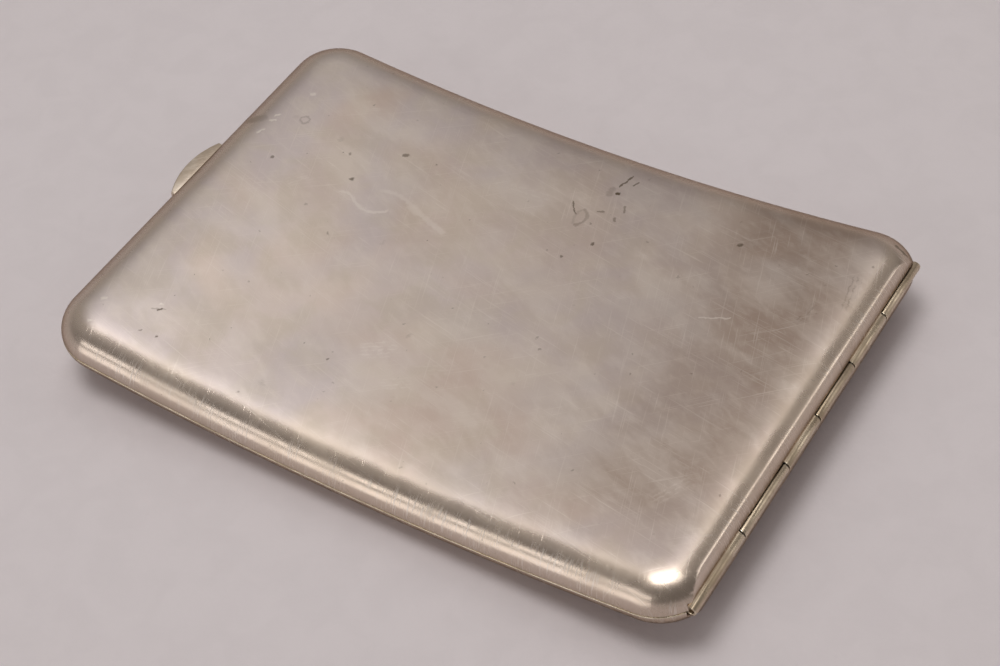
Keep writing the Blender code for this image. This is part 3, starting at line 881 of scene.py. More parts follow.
LID_MARKS = (
    *marks(LineMark, Tone.BRIGHT, (
        ((-33.0, 7.8), (-31.8, 8.3), 0.32, 0.4),
        ((-31.8, 8.3), (-29.6, 7.2), 0.32, 0.45),
        ((-20.4, 10.6), (-13.0, 8.3), 0.75, 0.32),
        ((-20.6, 10.7), (-19.2, 10.1), 1.1, 0.3),
        ((34.2, 9.7), (38.6, 11.5), 0.24, 0.5),
        ((-43.8, -26.9), (-43.6, -26.8), 0.28, 0.8),
        ((-53.0, 15.1), (-52.2, 15.7), 0.32, 1.0),
        ((-53.2, 11.7), (-52.6, 12.9), 0.3, 1.0),
        ((-52.8, 16.5), (-52.4, 17.1), 0.34, 1.0),
        ((-50.4, 24.0), (-50.0, 24.2), 0.5, 0.7),
        ((-52.6, -30.7), (-52.2, -30.5), 0.45, 0.8),
        ((-51.8, -35.3), (-51.5, -35.1), 0.4, 0.8),
    )),
    *marks(ArcMark, Tone.BRIGHT, (
        ((-29.8, 7.3), (-27.0, 6.3), (-23.4, 8.3), 0.4, 0.45),
        ((-28.0, 10.9), (-23.6, 11.8), (-20.0, 10.5), 0.55, 0.3),
        ((-28.6, 9.6), (-24.2, 9.9), (-20.4, 9.3), 0.9, 0.16),
    )),
    *marks(HatchMark, Tone.BRIGHT, (
        ((-8.0, -17.3), 4.6, 2.6, 31.0, 0.75, 0.5),
        ((-1.8, -22.1), 3.4, 2.0, 31.0, 0.65, 0.4),
        ((2.5, -16.5), 4.0, 2.2, 28.0, 0.9, 0.22),
        ((-40.5, 6.5), 3.2, 2.0, 55.0, 0.6, 0.3),
        ((-5.0, 22.5), 6.0, 1.6, 5.0, 0.9, 0.28),
        ((47.0, -22.0), 4.5, 1.8, 60.0, 0.8, 0.3),
    )),
    *marks(LineMark, Tone.DARK, (
        ((7.8, 30.3), (8.6, 33.5), 0.24, 0.9),
        ((9.8, 31.7), (10.2, 32.5), 0.22, 0.8),
        ((-28.3, 20.0), (-27.9, 20.3), 0.55, 0.6),
        ((-33.0, 10.9), (-32.9, 11.1), 0.5, 0.7),
        ((-36.6, 15.7), (-36.5, 15.8), 0.4, 0.45),
        ((8.3, 28.6), (8.6, 28.9), 0.34),
        ((7.0, 29.3), (7.2, 28.1), 0.8, 0.3),
        ((10.4, 16.9), (10.5, 17.1), 0.45, 0.8),
        ((7.4, 12.5), (7.5, 12.6), 0.4, 0.7),
        ((32.3, 26.2), (32.6, 26.4), 0.5, 0.8),
        ((-47.6, 8.3), (-47.5, 8.5), 0.45, 0.6),
        ((-43.4, -28.0), (-43.0, -27.6), 0.3, 0.75),
        ((-44.4, -28.3), (-42.4, -27.3), 0.2, 0.3),
        ((-43.4, -32.7), (-43.3, -32.6), 0.32, 0.45),
        ((-40.4, -32.5), (-40.3, -32.4), 0.35, 0.6),
        ((2.6, 24.1), (4.4, 21.7), 0.22, 0.7),
        ((7.6, 23.7), (8.4, 24.1), 0.25, 0.5),
        ((11.0, 26.5), (11.6, 25.5), 0.28, 0.5),
        ((10.8, 23.7), (11.2, 22.9), 0.28, 0.5),
        ((-56.2, 14.2), (-54.6, 15.2), 1.3, 0.3),
        ((54.6, 36.1), (56.6, 35.5), 0.4, 0.7),
    )),
    *marks(ArcMark, Tone.DARK, (
        ((5.0, 23.4), (6.6, 21.5), (5.4, 19.4), 0.45, 0.32),
        ((5.2, 23.2), (4.6, 21.4), (5.4, 19.5), 0.35, 0.16),
        ((0.2, 30.5), (-0.2, 27.9), (-1.0, 25.1), 0.5, 0.25),
        ((-48.6, 18.3), (-47.8, 19.1), (-47.0, 18.3), 0.3, 0.3),
        ((-48.6, 18.3), (-47.8, 17.5), (-47.0, 18.3), 0.3, 0.3),
    )),
    *marks(HatchMark, Tone.DARK, (
        ((53.3, 23.4), 5.2, 1.2, 100.0, 0.7, 0.35),
        ((49.0, 16.5), 3.0, 1.0, 80.0, 0.6, 0.3),
    )),
)


@dataclass(frozen=True)
class WornPlate:
    """Silver plate worn to a satin, with warm uneven tarnish, polished shoulders, fine scratches and painted
    shade on the walls and towards the hinge.

    A span holds the two ends of a ramp, in millimetres or as values of a texture, and shares are what
    the ramp starts and ends with. A relief holds the strength and the depth of a bump.
    """

    name: str
    effects: Effects
    marks: Sequence[LineMark | ArcMark | HatchMark] = ()
    pale: Colour = (0.725, 0.625, 0.565)
    warm: Colour = (0.62, 0.51, 0.45)
    violet: Colour = (0.60, 0.545, 0.56)
    olive: Colour = (0.57, 0.51, 0.42)
    # brown of the tarnish, which also paints shade onto the face towards the hinge end
    brown: Colour = (0.40, 0.315, 0.265)
    rubbed: Colour = (0.82, 0.745, 0.69)
    polished: Colour = (0.86, 0.80, 0.745)
    bared: Colour = (0.83, 0.695, 0.565)
    # colour of the painted shade on the walls towards the seam
    wall_shade: Colour = (0.34, 0.27, 0.20)
    stain: Colour = (0.12, 0.09, 0.06)
    edge_tint: Colour = (0.42, 0.36, 0.32)
    cloud_size: float = 24.0
    violet_share: float = 0.7
    olive_share: float = 0.45
    rubbed_share: float = 0.36
    bared_share: float = 0.6
    polish_shares: Point = (0.25, 0.5, 0.9)
    stain_span: Span = (0.3, 1.0)
    stain_metal_shares: Span = (1.0, 0.35)
    face_roughness: float = 0.39
    blotch_roughness: float = 0.07
    grain_roughness: float = 0.05
    rubbed_roughness: float = -0.06
    shoulder_roughness: float = -0.18
    comb_roughness: float = 0.10
    stain_roughness: float = 0.35
    shoulder_span: Span = (4.93, 4.2)
    smears: tuple[tuple[Point, float, Span, float], ...] = (
        ((0.07, 0.15, 0.07), 22.0, (0.42, 0.72), 1.0),
        ((0.32, 0.7, 0.32), 28.0, (0.44, 0.78), 0.5),
    )
    brown_slant: float = 0.75
    brown_span: Span = (-45.0, 70.0)
    brown_slow_share: float = 0.5
    brown_rise: Span = (24.0, 38.0)
    brown_fall: Span = (54.0, 48.0)
    brown_side: Span = (-34.0, -22.0)
    brown_drift_shares: Span = (0.6, 0.34)
    # spans and shares of the painted shade on the walls
    wall_shade_side: Span = (-36.0, -30.0)
    wall_shade_side_shares: Span = (0.45, 1.0)
    wall_shade_span: Span = (3.6, 0.2)
    wall_shade_share: float = 0.88
    dirt_spacing: float = 0.8
    dirt_amount: float = 0.28
    dirt_span: Span = (3.4, 1.0)
    dirt_share: float = 0.55
    speck_kinds: tuple[Point, ...] = ((1.7, 0.2, 0.62), (5.0, 0.26, 0.2))
    speck_ragged: float = 1.1
    speck_shift: float = 1.3
    speck_patch: float = 0.045
    speck_patch_span: Span = (0.40, 0.60)
    speck_patch_shares: Span = (0.45, 1.0)
    speck_side: Span = (30.0, -30.0)
    speck_side_shares: Span = (0.6, 1.0)
    hairlines: tuple[Span, ...] = ((12.0, 0.5), (71.0, 0.45), (-38.0, 0.35))
    hairline_stretch: Point = (0.12, 5.5, 0.12)
    straight_s: float = 52.9
    straight_y: float = 34.0
    comb_stretches: tuple[Point, ...] = ((4.2, 0.35, 0.35), (0.35, 4.2, 0.35))
    comb_blend: Span = (-0.5, 0.5)
    comb_amount: float = 0.9
    comb_span: Span = (4.35, 3.6)
    mark_ragged: float = 1.4
    mark_shift: float = 0.9
    cut_shares: tuple[float, ...] = (0.35, 0.9, 0.6, 1.0)
    grain_share: float = 0.5
    sheet_relief: Span = (0.08, 0.0003)
    fine_relief: Span = (0.3, 0.00003)

    def material(self) -> Material:
        """Build the material, which reads the piece's flat place in millimetres."""
        sketch, shader, material = new_material(self.name)
        flat = sketch.node("ShaderNodeAttribute", attribute_name=FLAT_PLACE).outputs["Vector"]
        axes = sketch.node("ShaderNodeSeparateXYZ", {0: flat})
        clouds = sketch.group(self.effects.clouds, Place=flat, Size=self.cloud_size).outputs
        height = sketch.math("ABSOLUTE", axes.outputs[2])
        shoulder = sketch.ramp(height, *self.shoulder_span)
        scratches = self.face_scratches(sketch, flat)
        combed = self.shoulder_scratches(sketch, flat, axes)
        bright, dark = self.place_marks(sketch, flat)
        dirt = self.wall_dirt(sketch, flat, height)
        dark = sketch.larger(dark, sketch.larger(dirt, self.scattered_specks(sketch, flat)))
        rubbed = self.rubbed_smears(sketch, flat)

        tone = sketch.coats(
            self.pale,
            (clouds["Broad"], self.warm),
            (sketch.times(clouds["Drift"], self.violet_share), self.violet),
            (sketch.times(clouds["Blotch"], self.olive_share), self.olive),
            # brown tarnish and painted shade, darker towards the hinge and the far side
            (self.tarnish_and_shade_end(sketch, axes, clouds["Drift"]), self.brown),
            (sketch.times(rubbed, self.rubbed_share), self.rubbed),
            (sketch.times(shoulder, self.bared_share), self.bared),
            # painted shade: the walls darken towards the seam
            (self.shaded_walls(sketch, axes, height), self.wall_shade),
            (sketch.largest(*zip((scratches, combed, bright), self.polish_shares)), self.polished),
            (dark, self.stain),
        )
        metal = sketch.ramp(dark, *self.stain_span, *self.stain_metal_shares)
        sketch.wire(shader, Base_Color=tone, Metallic=metal, Specular_Tint=(*self.edge_tint, 1.0))

        rough = sketch.weighted(
            self.face_roughness,
            (clouds["Blotch"], self.blotch_roughness),
            (clouds["Grain"], self.grain_roughness),
            (rubbed, self.rubbed_roughness),
            (shoulder, self.shoulder_roughness),
            (combed, self.comb_roughness),
            (dark, self.stain_roughness),
        )
        normal = self.relief(sketch, clouds, scratches, combed, bright, dark)
        sketch.wire(shader, Roughness=rough, Normal=normal)
        return material

    def rubbed_smears(self, sketch: Sketch, flat: object) -> Socket:
        """Pale smears where the tarnish is rubbed off, in two sizes and drawn out one way."""
        found = 0.0
        for factors, turn, span, share in self.smears:
            worn = sketch.noise(sketch.stretch(flat, factors, turn), 1.0, 5.0, 0.3).outputs[0]
            found = sketch.plus(found, sketch.ramp(worn, *span, 0.0, share))
        return sketch.math("MINIMUM", found, 1.0)

    def tarnish_and_shade_end(self, sketch: Sketch, axes: Node, drift: object) -> Socket:
        """Share of the brown tarnish and painted shade: slow growth towards the hinge and the far side, and a
        cloudy band.

        Args:
            sketch: the material's sketch.
            axes: the flat place, taken apart.
            drift: slow clouds that thin the band in places.

        Returns:
            The share, at most 1.
        """
        along = sketch.times_plus(axes.outputs[1], self.brown_slant, axes.outputs[0])
        slow = sketch.ramp(along, *self.brown_span, 0.0, self.brown_slow_share)
        thinned = sketch.ramp(drift, 0.0, 1.0, *self.brown_drift_shares)
        rise = sketch.times(sketch.ramp(axes.outputs[0], *self.brown_rise), thinned)
        rise = sketch.times(rise, sketch.ramp(axes.outputs[1], *self.brown_side))
        fall = sketch.ramp(axes.outputs[0], *self.brown_fall)
        return sketch.math("MINIMUM", sketch.times_plus(rise, fall, slow), 1.0)

    def shaded_walls(self, sketch: Sketch, axes: Node, height: object) -> Socket:
        """Share of the painted shade on the walls, darker towards the seam and thinner at the near side."""
        along = sketch.ramp(axes.outputs[1], *self.wall_shade_side, *self.wall_shade_side_shares)
        return sketch.times(along, sketch.ramp(height, *self.wall_shade_span, 0.0, self.wall_shade_share))

    def wall_dirt(self, sketch: Sketch, flat: object, height: object) -> Socket:
        """Dark specks on the walls, denser towards the seam."""
        specks = self.effects.speck_mask(sketch, flat, self.dirt_spacing, self.dirt_amount)
        return sketch.times(specks, sketch.ramp(height, *self.dirt_span, 0.0, self.dirt_share))

    def scattered_specks(self, sketch: Sketch, flat: object) -> Socket:
        """Small dark pits that gather in some places, each in a faint brown spot."""
        level = sketch.vector("MULTIPLY", flat, LEVEL)
        place = self.ragged_place(sketch, level, self.speck_ragged, self.speck_shift, 0.0)
        patch = sketch.noise(level, self.speck_patch, 2.0).outputs[0]
        gathered = sketch.ramp(patch, *self.speck_patch_span, *self.speck_patch_shares)
        along = sketch.node("ShaderNodeSeparateXYZ", {0: level}).outputs[0]
        gathered = sketch.times(gathered, sketch.ramp(along, *self.speck_side, *self.speck_side_shares))
        specks = [
            (self.effects.speck_mask(sketch, place, spacing, amount), share)
            for spacing, amount, share in self.speck_kinds
        ]
        return sketch.times(sketch.largest(*specks), gathered)

    @staticmethod
    def ragged_place(sketch: Sketch, level: object, scale: float, reach: float, middle: float) -> Socket:
        """Level place shifted by noise, so that what reads it gets ragged edges."""
        ragged = sketch.noise(level, scale, 3.0).outputs["Color"]
        centred = sketch.vector("SUBTRACT", ragged, (middle, middle, middle))
        return sketch.vector("ADD", level, sketch.vector("MULTIPLY", centred, (reach, reach, 0.0)))

    def face_scratches(self, sketch: Sketch, flat: object) -> Socket:
        """Fine hairlines in several directions over the whole face."""
        found = 0.0
        for turn, amount in self.hairlines:
            lines = sketch.stretch(flat, self.hairline_stretch, turn)
            found = sketch.larger(found, self.effects.hairline_mask(sketch, lines, lines, amount))
        return found

    def shoulder_scratches(self, sketch: Sketch, flat: object, axes: Node) -> Socket:
        """Short scratches combed over the shoulders, at right angles to their edges."""
        past_s = sketch.math("SUBTRACT", sketch.math("ABSOLUTE", axes.outputs[0]), self.straight_s)
        past_y = sketch.math("SUBTRACT", sketch.math("ABSOLUTE", axes.outputs[1]), self.straight_y)
        long_side = sketch.ramp(sketch.math("SUBTRACT", past_y, past_s), *self.comb_blend)
        short_side = sketch.math("SUBTRACT", 1.0, long_side)
        combed = 0.0
        for side, factors in zip((long_side, short_side), self.comb_stretches):
            lines = sketch.vector("MULTIPLY", flat, factors)
            mask = self.effects.hairline_mask(sketch, lines, flat, self.comb_amount)
            combed = sketch.times_plus(mask, side, combed)
        height = sketch.math("ABSOLUTE", axes.outputs[2])
        return sketch.times(combed, sketch.ramp(height, *self.comb_span))

    def place_marks(self, sketch: Sketch, flat: object) -> tuple[object, object]:
        """Masks of the single marks: the bright ones together and the dark ones together."""
        level = sketch.vector("MULTIPLY", flat, LEVEL)
        place = self.ragged_place(sketch, level, self.mark_ragged, self.mark_shift, 0.5)
        found = {Tone.BRIGHT: 0.0, Tone.DARK: 0.0}
        for mark in self.marks:
            found[mark.tone] = sketch.larger(found[mark.tone], mark.mask(sketch, self.effects, place))
        return found[Tone.BRIGHT], found[Tone.DARK]

    def relief(self, sketch: Sketch, clouds: object, *masks: object) -> Socket:
        """Normal from the wavy sheet and from what is cut into it.

        Args:
            sketch: the material's sketch.
            clouds: outputs of the tarnish clouds.
            masks: scratches, combed scratches, bright marks and dark marks.

        Returns:
            The normal.
        """
        cuts = sketch.largest(*zip(masks, self.cut_shares))
        fine = sketch.times_plus(clouds["Grain"], self.grain_share, sketch.times(cuts, -1.0))
        return sketch.bump(fine, *self.fine_relief, sketch.bump(clouds["Broad"], *self.sheet_relief))


@dataclass(frozen=True)
class YellowMetal:
    """Yellow metal with wear: the gilt inside, the worn edges or the rubbed hinge."""

    name: str
    effects: Effects
    colour: Colour
    rubbed: Colour
    shade: Colour
    roughness: float
    cloud_size: float = 9.0
    speck_spacing: float = 1.1
    speck_amount: float = 0.09
    hatch_turns: Span = (8.0, -52.0)
    hatch_stretch: Point = (0.3, 6.0, 0.8)
    hatch_amount: float = 0.8
    blotch_share: float = 0.35
    scratch_share: float = 0.4
    speck_share: float = 0.5
    blotch_roughness: float = 0.12
    scratch_roughness: float = 0.08
    grain_share: float = 0.5
    cut_share: float = -0.8
    relief: Span = (0.3, 0.00003)

    def material(self) -> Material:
        """Build the material, which reads Object coordinates."""
        sketch, shader, material = new_material(self.name)
        place = sketch.object_place()
        clouds = sketch.group(self.effects.clouds, Place=place, Size=self.cloud_size).outputs
        specks = self.effects.speck_mask(sketch, place, self.speck_spacing, self.speck_amount)
        scratches = 0.0
        for turn in self.hatch_turns:
            lines = sketch.stretch(place, self.hatch_stretch, turn)
            mask = self.effects.hairline_mask(sketch, lines, place, self.hatch_amount)
            scratches = sketch.larger(scratches, mask)
        tone = sketch.coats(
            self.colour,
            (clouds["Broad"], self.rubbed),
            (sketch.times(clouds["Blotch"], self.blotch_share), self.shade),
            (sketch.times(scratches, self.scratch_share), self.rubbed),
            (sketch.times(specks, self.speck_share), self.shade),
        )
        rough = sketch.weighted(
            self.roughness, (clouds["Blotch"], self.blotch_roughness), (scratches, self.scratch_roughness)
        )
        height = sketch.times_plus(clouds["Grain"], self.grain_share, sketch.times(scratches, self.cut_share))
        normal = sketch.bump(height, *self.relief)
        sketch.wire(shader, Base_Color=tone, Metallic=1.0, Roughness=rough, Normal=normal)
        return material


@dataclass(frozen=True)
class SpringSteel:
    """Plain drawn or rolled steel with lines along its rolling direction."""

    name: str
    effects: Effects
    colour: Colour = (0.52, 0.52, 0.53)
    dull: Colour = (0.36, 0.34, 0.32)
    roughness: float = 0.26
    cloud_size: float = 5.0
    line_stretch: Point = (9.0, 0.25, 9.0)
    blotch_roughness: float = 0.1
    line_roughness: float = 0.08
    relief: Span = (0.25, 0.00002)

    def material(self) -> Material:
        """Build the material, which reads Object coordinates."""
        sketch, shader, material = new_material(self.name)
        place = sketch.object_place()
        clouds = sketch.group(self.effects.clouds, Place=place, Size=self.cloud_size).outputs
        lines = sketch.vector("MULTIPLY", place, self.line_stretch)
        drawn = self.effects.hairline_mask(sketch, lines, place, 1.0)
        tone = sketch.mix(clouds["Blotch"], self.colour, self.dull)
        rough = sketch.weighted(
            self.roughness, (clouds["Blotch"], self.blotch_roughness), (drawn, self.line_roughness)
        )
        normal = sketch.bump(sketch.times(drawn, -1.0), *self.relief)
        sketch.wire(shader, Base_Color=tone, Metallic=1.0, Roughness=rough, Normal=normal)
        return material


@dataclass(frozen=True)
class ElasticWeb:
    """Narrow woven elastic, or the thread that it is sewn with."""

    name: str
    effects: Effects
    colour: Colour = (0.46, 0.36, 0.22)
    shadow: Colour = (0.20, 0.14, 0.07)
    cord: float = 0.8
    thread: float = 0.5
    cloud_size: float = 11.0
    depth_span: Span = (0.1, 0.75)
    fibre_share: float = 0.3
    blotch_share: float = 0.25
    roughness: float = 0.7
    fibre_roughness: float = 0.2
    fibre_height: float = 0.3
    relief: Span = (0.7, 0.00012)
    sheen: float = 0.3

    def material(self) -> Material:
        """Build the material, which reads Object coordinates."""
        sketch, shader, material = new_material(self.name)
        place = sketch.object_place()
        weave = sketch.group(self.effects.weave, Place=place, Cord=self.cord, Thread=self.thread).outputs
        clouds = sketch.group(self.effects.clouds, Place=place, Size=self.cloud_size).outputs
        tone = sketch.coats(
            self.shadow,
            (sketch.ramp(weave["Height"], *self.depth_span), self.colour),
            (sketch.times(weave["Fibre"], self.fibre_share), self.shadow),
            (sketch.times(clouds["Blotch"], self.blotch_share), self.shadow),
        )
        rough = sketch.times_plus(weave["Fibre"], self.fibre_roughness, self.roughness)
        height = sketch.times_plus(weave["Fibre"], self.fibre_height, weave["Height"])
        normal = sketch.bump(height, *self.relief)
        sketch.wire(shader, Base_Color=tone, Roughness=rough, Normal=normal, Sheen_Weight=self.sheen)
        return material


@dataclass(frozen=True)
class StudioPaper:
    """Pale matt paper that the case lies on, very slightly clouded."""

    name: str
    effects: Effects
    colour: Colour = (0.825, 0.772, 0.80)
    shade: Colour = (0.805, 0.753, 0.78)
    cloud_size: float = 21.0
    roughness: float = 0.9
    gloss: float = 0.2
    relief: Span = (0.25, 0.0002)

    def material(self) -> Material:
        """Build the material, which reads Object coordinates."""
        sketch, shader, material = new_material(self.name)
        clouds = sketch.group(self.effects.clouds, Place=sketch.object_place(), Size=self.cloud_size).outputs
        tone = sketch.mix(clouds["Blotch"], self.colour, self.shade)
        normal = sketch.bump(clouds["Grain"], *self.relief)
        sketch.wire(
            shader, Base_Color=tone, Roughness=self.roughness, Specular_IOR_Level=self.gloss, Normal=normal
        )
        return material


@dataclass(frozen=True)
class Finishes:
    """Every material of the case, built once."""

    lid_plate: Material
    base_plate: Material
    gilt: Material
    worn_edge: Material
    thumb: Material
    hinge: Material
    steel: Material
    elastic: Material
    thread: Material
    paper: Material

    @classmethod
    def build(cls) -> "Finishes":
        """Mix every finish from the shared effects."""
        effects = Effects()
        yellow = {
            name: YellowMetal(name, effects, colour, rubbed, shade, roughness).material()
            for name, colour, rubbed, shade, roughness in (
                ("satin_gilt", (0.74, 0.60, 0.36), (0.80, 0.68, 0.46), (0.55, 0.42, 0.24), 0.27),
                ("rubbed_edge", (0.80, 0.70, 0.52), (0.90, 0.83, 0.70), (0.42, 0.33, 0.20), 0.19),
                ("rubbed_thumb", (0.63, 0.53, 0.43), (0.78, 0.70, 0.61), (0.36, 0.275, 0.20), 0.29),
                ("rubbed_hinge", (0.51, 0.415, 0.30), (0.66, 0.56, 0.43), (0.30, 0.225, 0.145), 0.25),
            )
        }
        thread = ElasticWeb("sewing_thread", effects, (0.58, 0.47, 0.30), (0.30, 0.22, 0.12), 0.3, 0.2)
        return cls(
            lid_plate=WornPlate("worn_plate_lid", effects, LID_MARKS).material(),
            base_plate=WornPlate("worn_plate_base", effects).material(),
            gilt=yellow["satin_gilt"],
            worn_edge=yellow["rubbed_edge"],
            thumb=yellow["rubbed_thumb"],
            hinge=yellow["rubbed_hinge"],
            steel=SpringSteel("spring_steel", effects).material(),
            elastic=ElasticWeb("woven_elastic", effects).material(),
            thread=thread.material(),
            paper=StudioPaper("studio_paper", effects).material(),
        )


# Sub-assemblies

@dataclass
class Hinge:
    """Six knuckles of the barrel, the pin through them and the strips that stiffen the walls."""

    form: CaseForm
    finishes: Finishes
    end_inset: float = 0.0035
    pin_radius: float = 0.0004
    bore_clearance: float = 0.0001
    barrel_wall: float = 0.00035
    pin_recess: float = 0.0012
    knuckle_shares: tuple[float, ...] = (0.200, 0.187, 0.138, 0.157, 0.151, 0.167)
    sides: int = 56
    cutter_shift: float = 0.00002
    rim_round: float = 0.00007
    strip_round: float = 0.00008
    solder_leg: float = 0.00035
    solder_root: float = 0.0002
    solder_steps: int = 8
    round_angle: float = 50.0
    rim_index: int = 1
    dome_share: float = 0.6
    dome_steps: int = 4
    dome_smooth: float = 45.0

    @property
    def radius(self) -> float:
        """Outer radius of the barrel."""
        return self.pin_radius + self.bore_clearance + self.barrel_wall

    @property
    def half(self) -> float:
        """Half of the barrel's length."""
        return self.form.half_width - self.end_inset

    def knuckle_spans(self) -> list[tuple[str, str, float, float]]:
        """Body, name and both ends of each knuckle, from the near end."""
        spans, start = [], -self.half
        counts = {"lid": 0, "base": 0}
        last = len(self.knuckle_shares) - 1
        for index, share in enumerate(self.knuckle_shares):
            end = start + share * 2 * self.half
            body = "lid" if index % 2 == 0 else "base"
            counts[body] += 1
            low = start + (self.form.running_gap / 2 if index else 0)
            high = end - (self.form.running_gap / 2 if index < last else 0)
            spans.append((body, f"{body}_knuckle_{counts[body]}", low, high))
            start = end
        return spans

    def cutter(self, body: str) -> Workpiece:
        """Space that one half's wall leaves: close to its own knuckles, clear of the others."""
        axis = (self.form.hinge_s + self.cutter_shift, 0.0)
        gap = self.form.running_gap
        own = Workpiece.rod("barrel_space", self.radius, -self.half, self.half, axis, self.sides)
        for owner, _, low, high in self.knuckle_spans():
            if owner != body:
                reach = self.radius + gap
                wide = Workpiece.rod("passing_space", reach, low - gap, high + gap, axis, self.sides)
                own.combine(wide, "UNION")
        return own

    def make_knuckle(self, body: str, node: str, low: float, high: float) -> None:
        """One tube of the barrel, bored and with rubbed ends."""
        axis = (self.form.hinge_s, 0.0)
        tube = Workpiece.rod(f"{node}_tube", self.radius, low, high, axis, self.sides)
        with tube.editing():
            tube.pick(Part.FACE, lambda face: len(face.verts) == self.sides)
            bpy.ops.mesh.inset(thickness=self.barrel_wall, use_even_offset=True)
            bpy.ops.mesh.bridge_edge_loops()
            tube.face_outwards()
        tube.paint(self.finishes.hinge, self.finishes.worn_edge)
        tube.soften(self.rim_round, angle=self.round_angle, material=self.rim_index)
        tube.roll(self.form)
        tube.smooth()
        tube.seat(body, "hinge_metal", node)

    def make_solder(self, body: str, node: str, low: float, high: float) -> None:
        """Hollow fillet of solder along one knuckle, from the tube up its own half's wall.

        Args:
            body: the half that the knuckle belongs to.
            node: name of the knuckle.
            low: place of the fillet's near end.
            high: place of its far end.
        """
        place, leg = self.form.hinge_s, self.solder_leg
        side = 1 if body == "lid" else -1
        reach = self.radius + leg
        height = math.sqrt(reach * reach - leg * leg)
        sweep = math.atan2(height, leg)
        outline = [(place - self.solder_root, side * height)]
        for step in range(self.solder_steps + 1):
            angle = math.pi + sweep * step / self.solder_steps
            spot = (place + leg + leg * math.cos(angle), side * (height + leg * math.sin(angle)))
            outline.append(spot)
        inside = self.radius - self.barrel_wall / 2
        outline.append((place + inside * leg / reach, side * inside * height / reach))
        outline.append((place - self.solder_root, side * inside))
        fillet = Workpiece.bar(f"{node}_solder", outline, low, high)
        fillet.roll(self.form)
        fillet.dress(self.finishes.hinge, body, "hinge_metal")

    def make_pin(self) -> None:
        """Pin with domed ends, sunk a little into the barrel."""
        reach = self.half - self.pin_recess
        axis = (self.form.hinge_s, 0.0)
        pin = Workpiece.rod("hinge_pin_wire", self.pin_radius, -reach, reach, axis, self.sides)
        pin.soften(self.pin_radius * self.dome_share, self.dome_steps, self.round_angle)
        pin.roll(self.form)
        pin.dress(self.finishes.steel, "base", "spring_steel", "hinge_pin", angle=self.dome_smooth)

    def build(self) -> None:
        """Make the whole hinge."""
        for body, node, low, high in self.knuckle_spans():
            self.make_knuckle(body, node, low, high)
            self.make_solder(body, node, low, high)
        self.make_pin()
        for body in ("lid", "base"):
            node = f"{body}_hinge_bearer"
            make_fitting(node, "strip", body, self.finishes.gilt, self.strip_round)


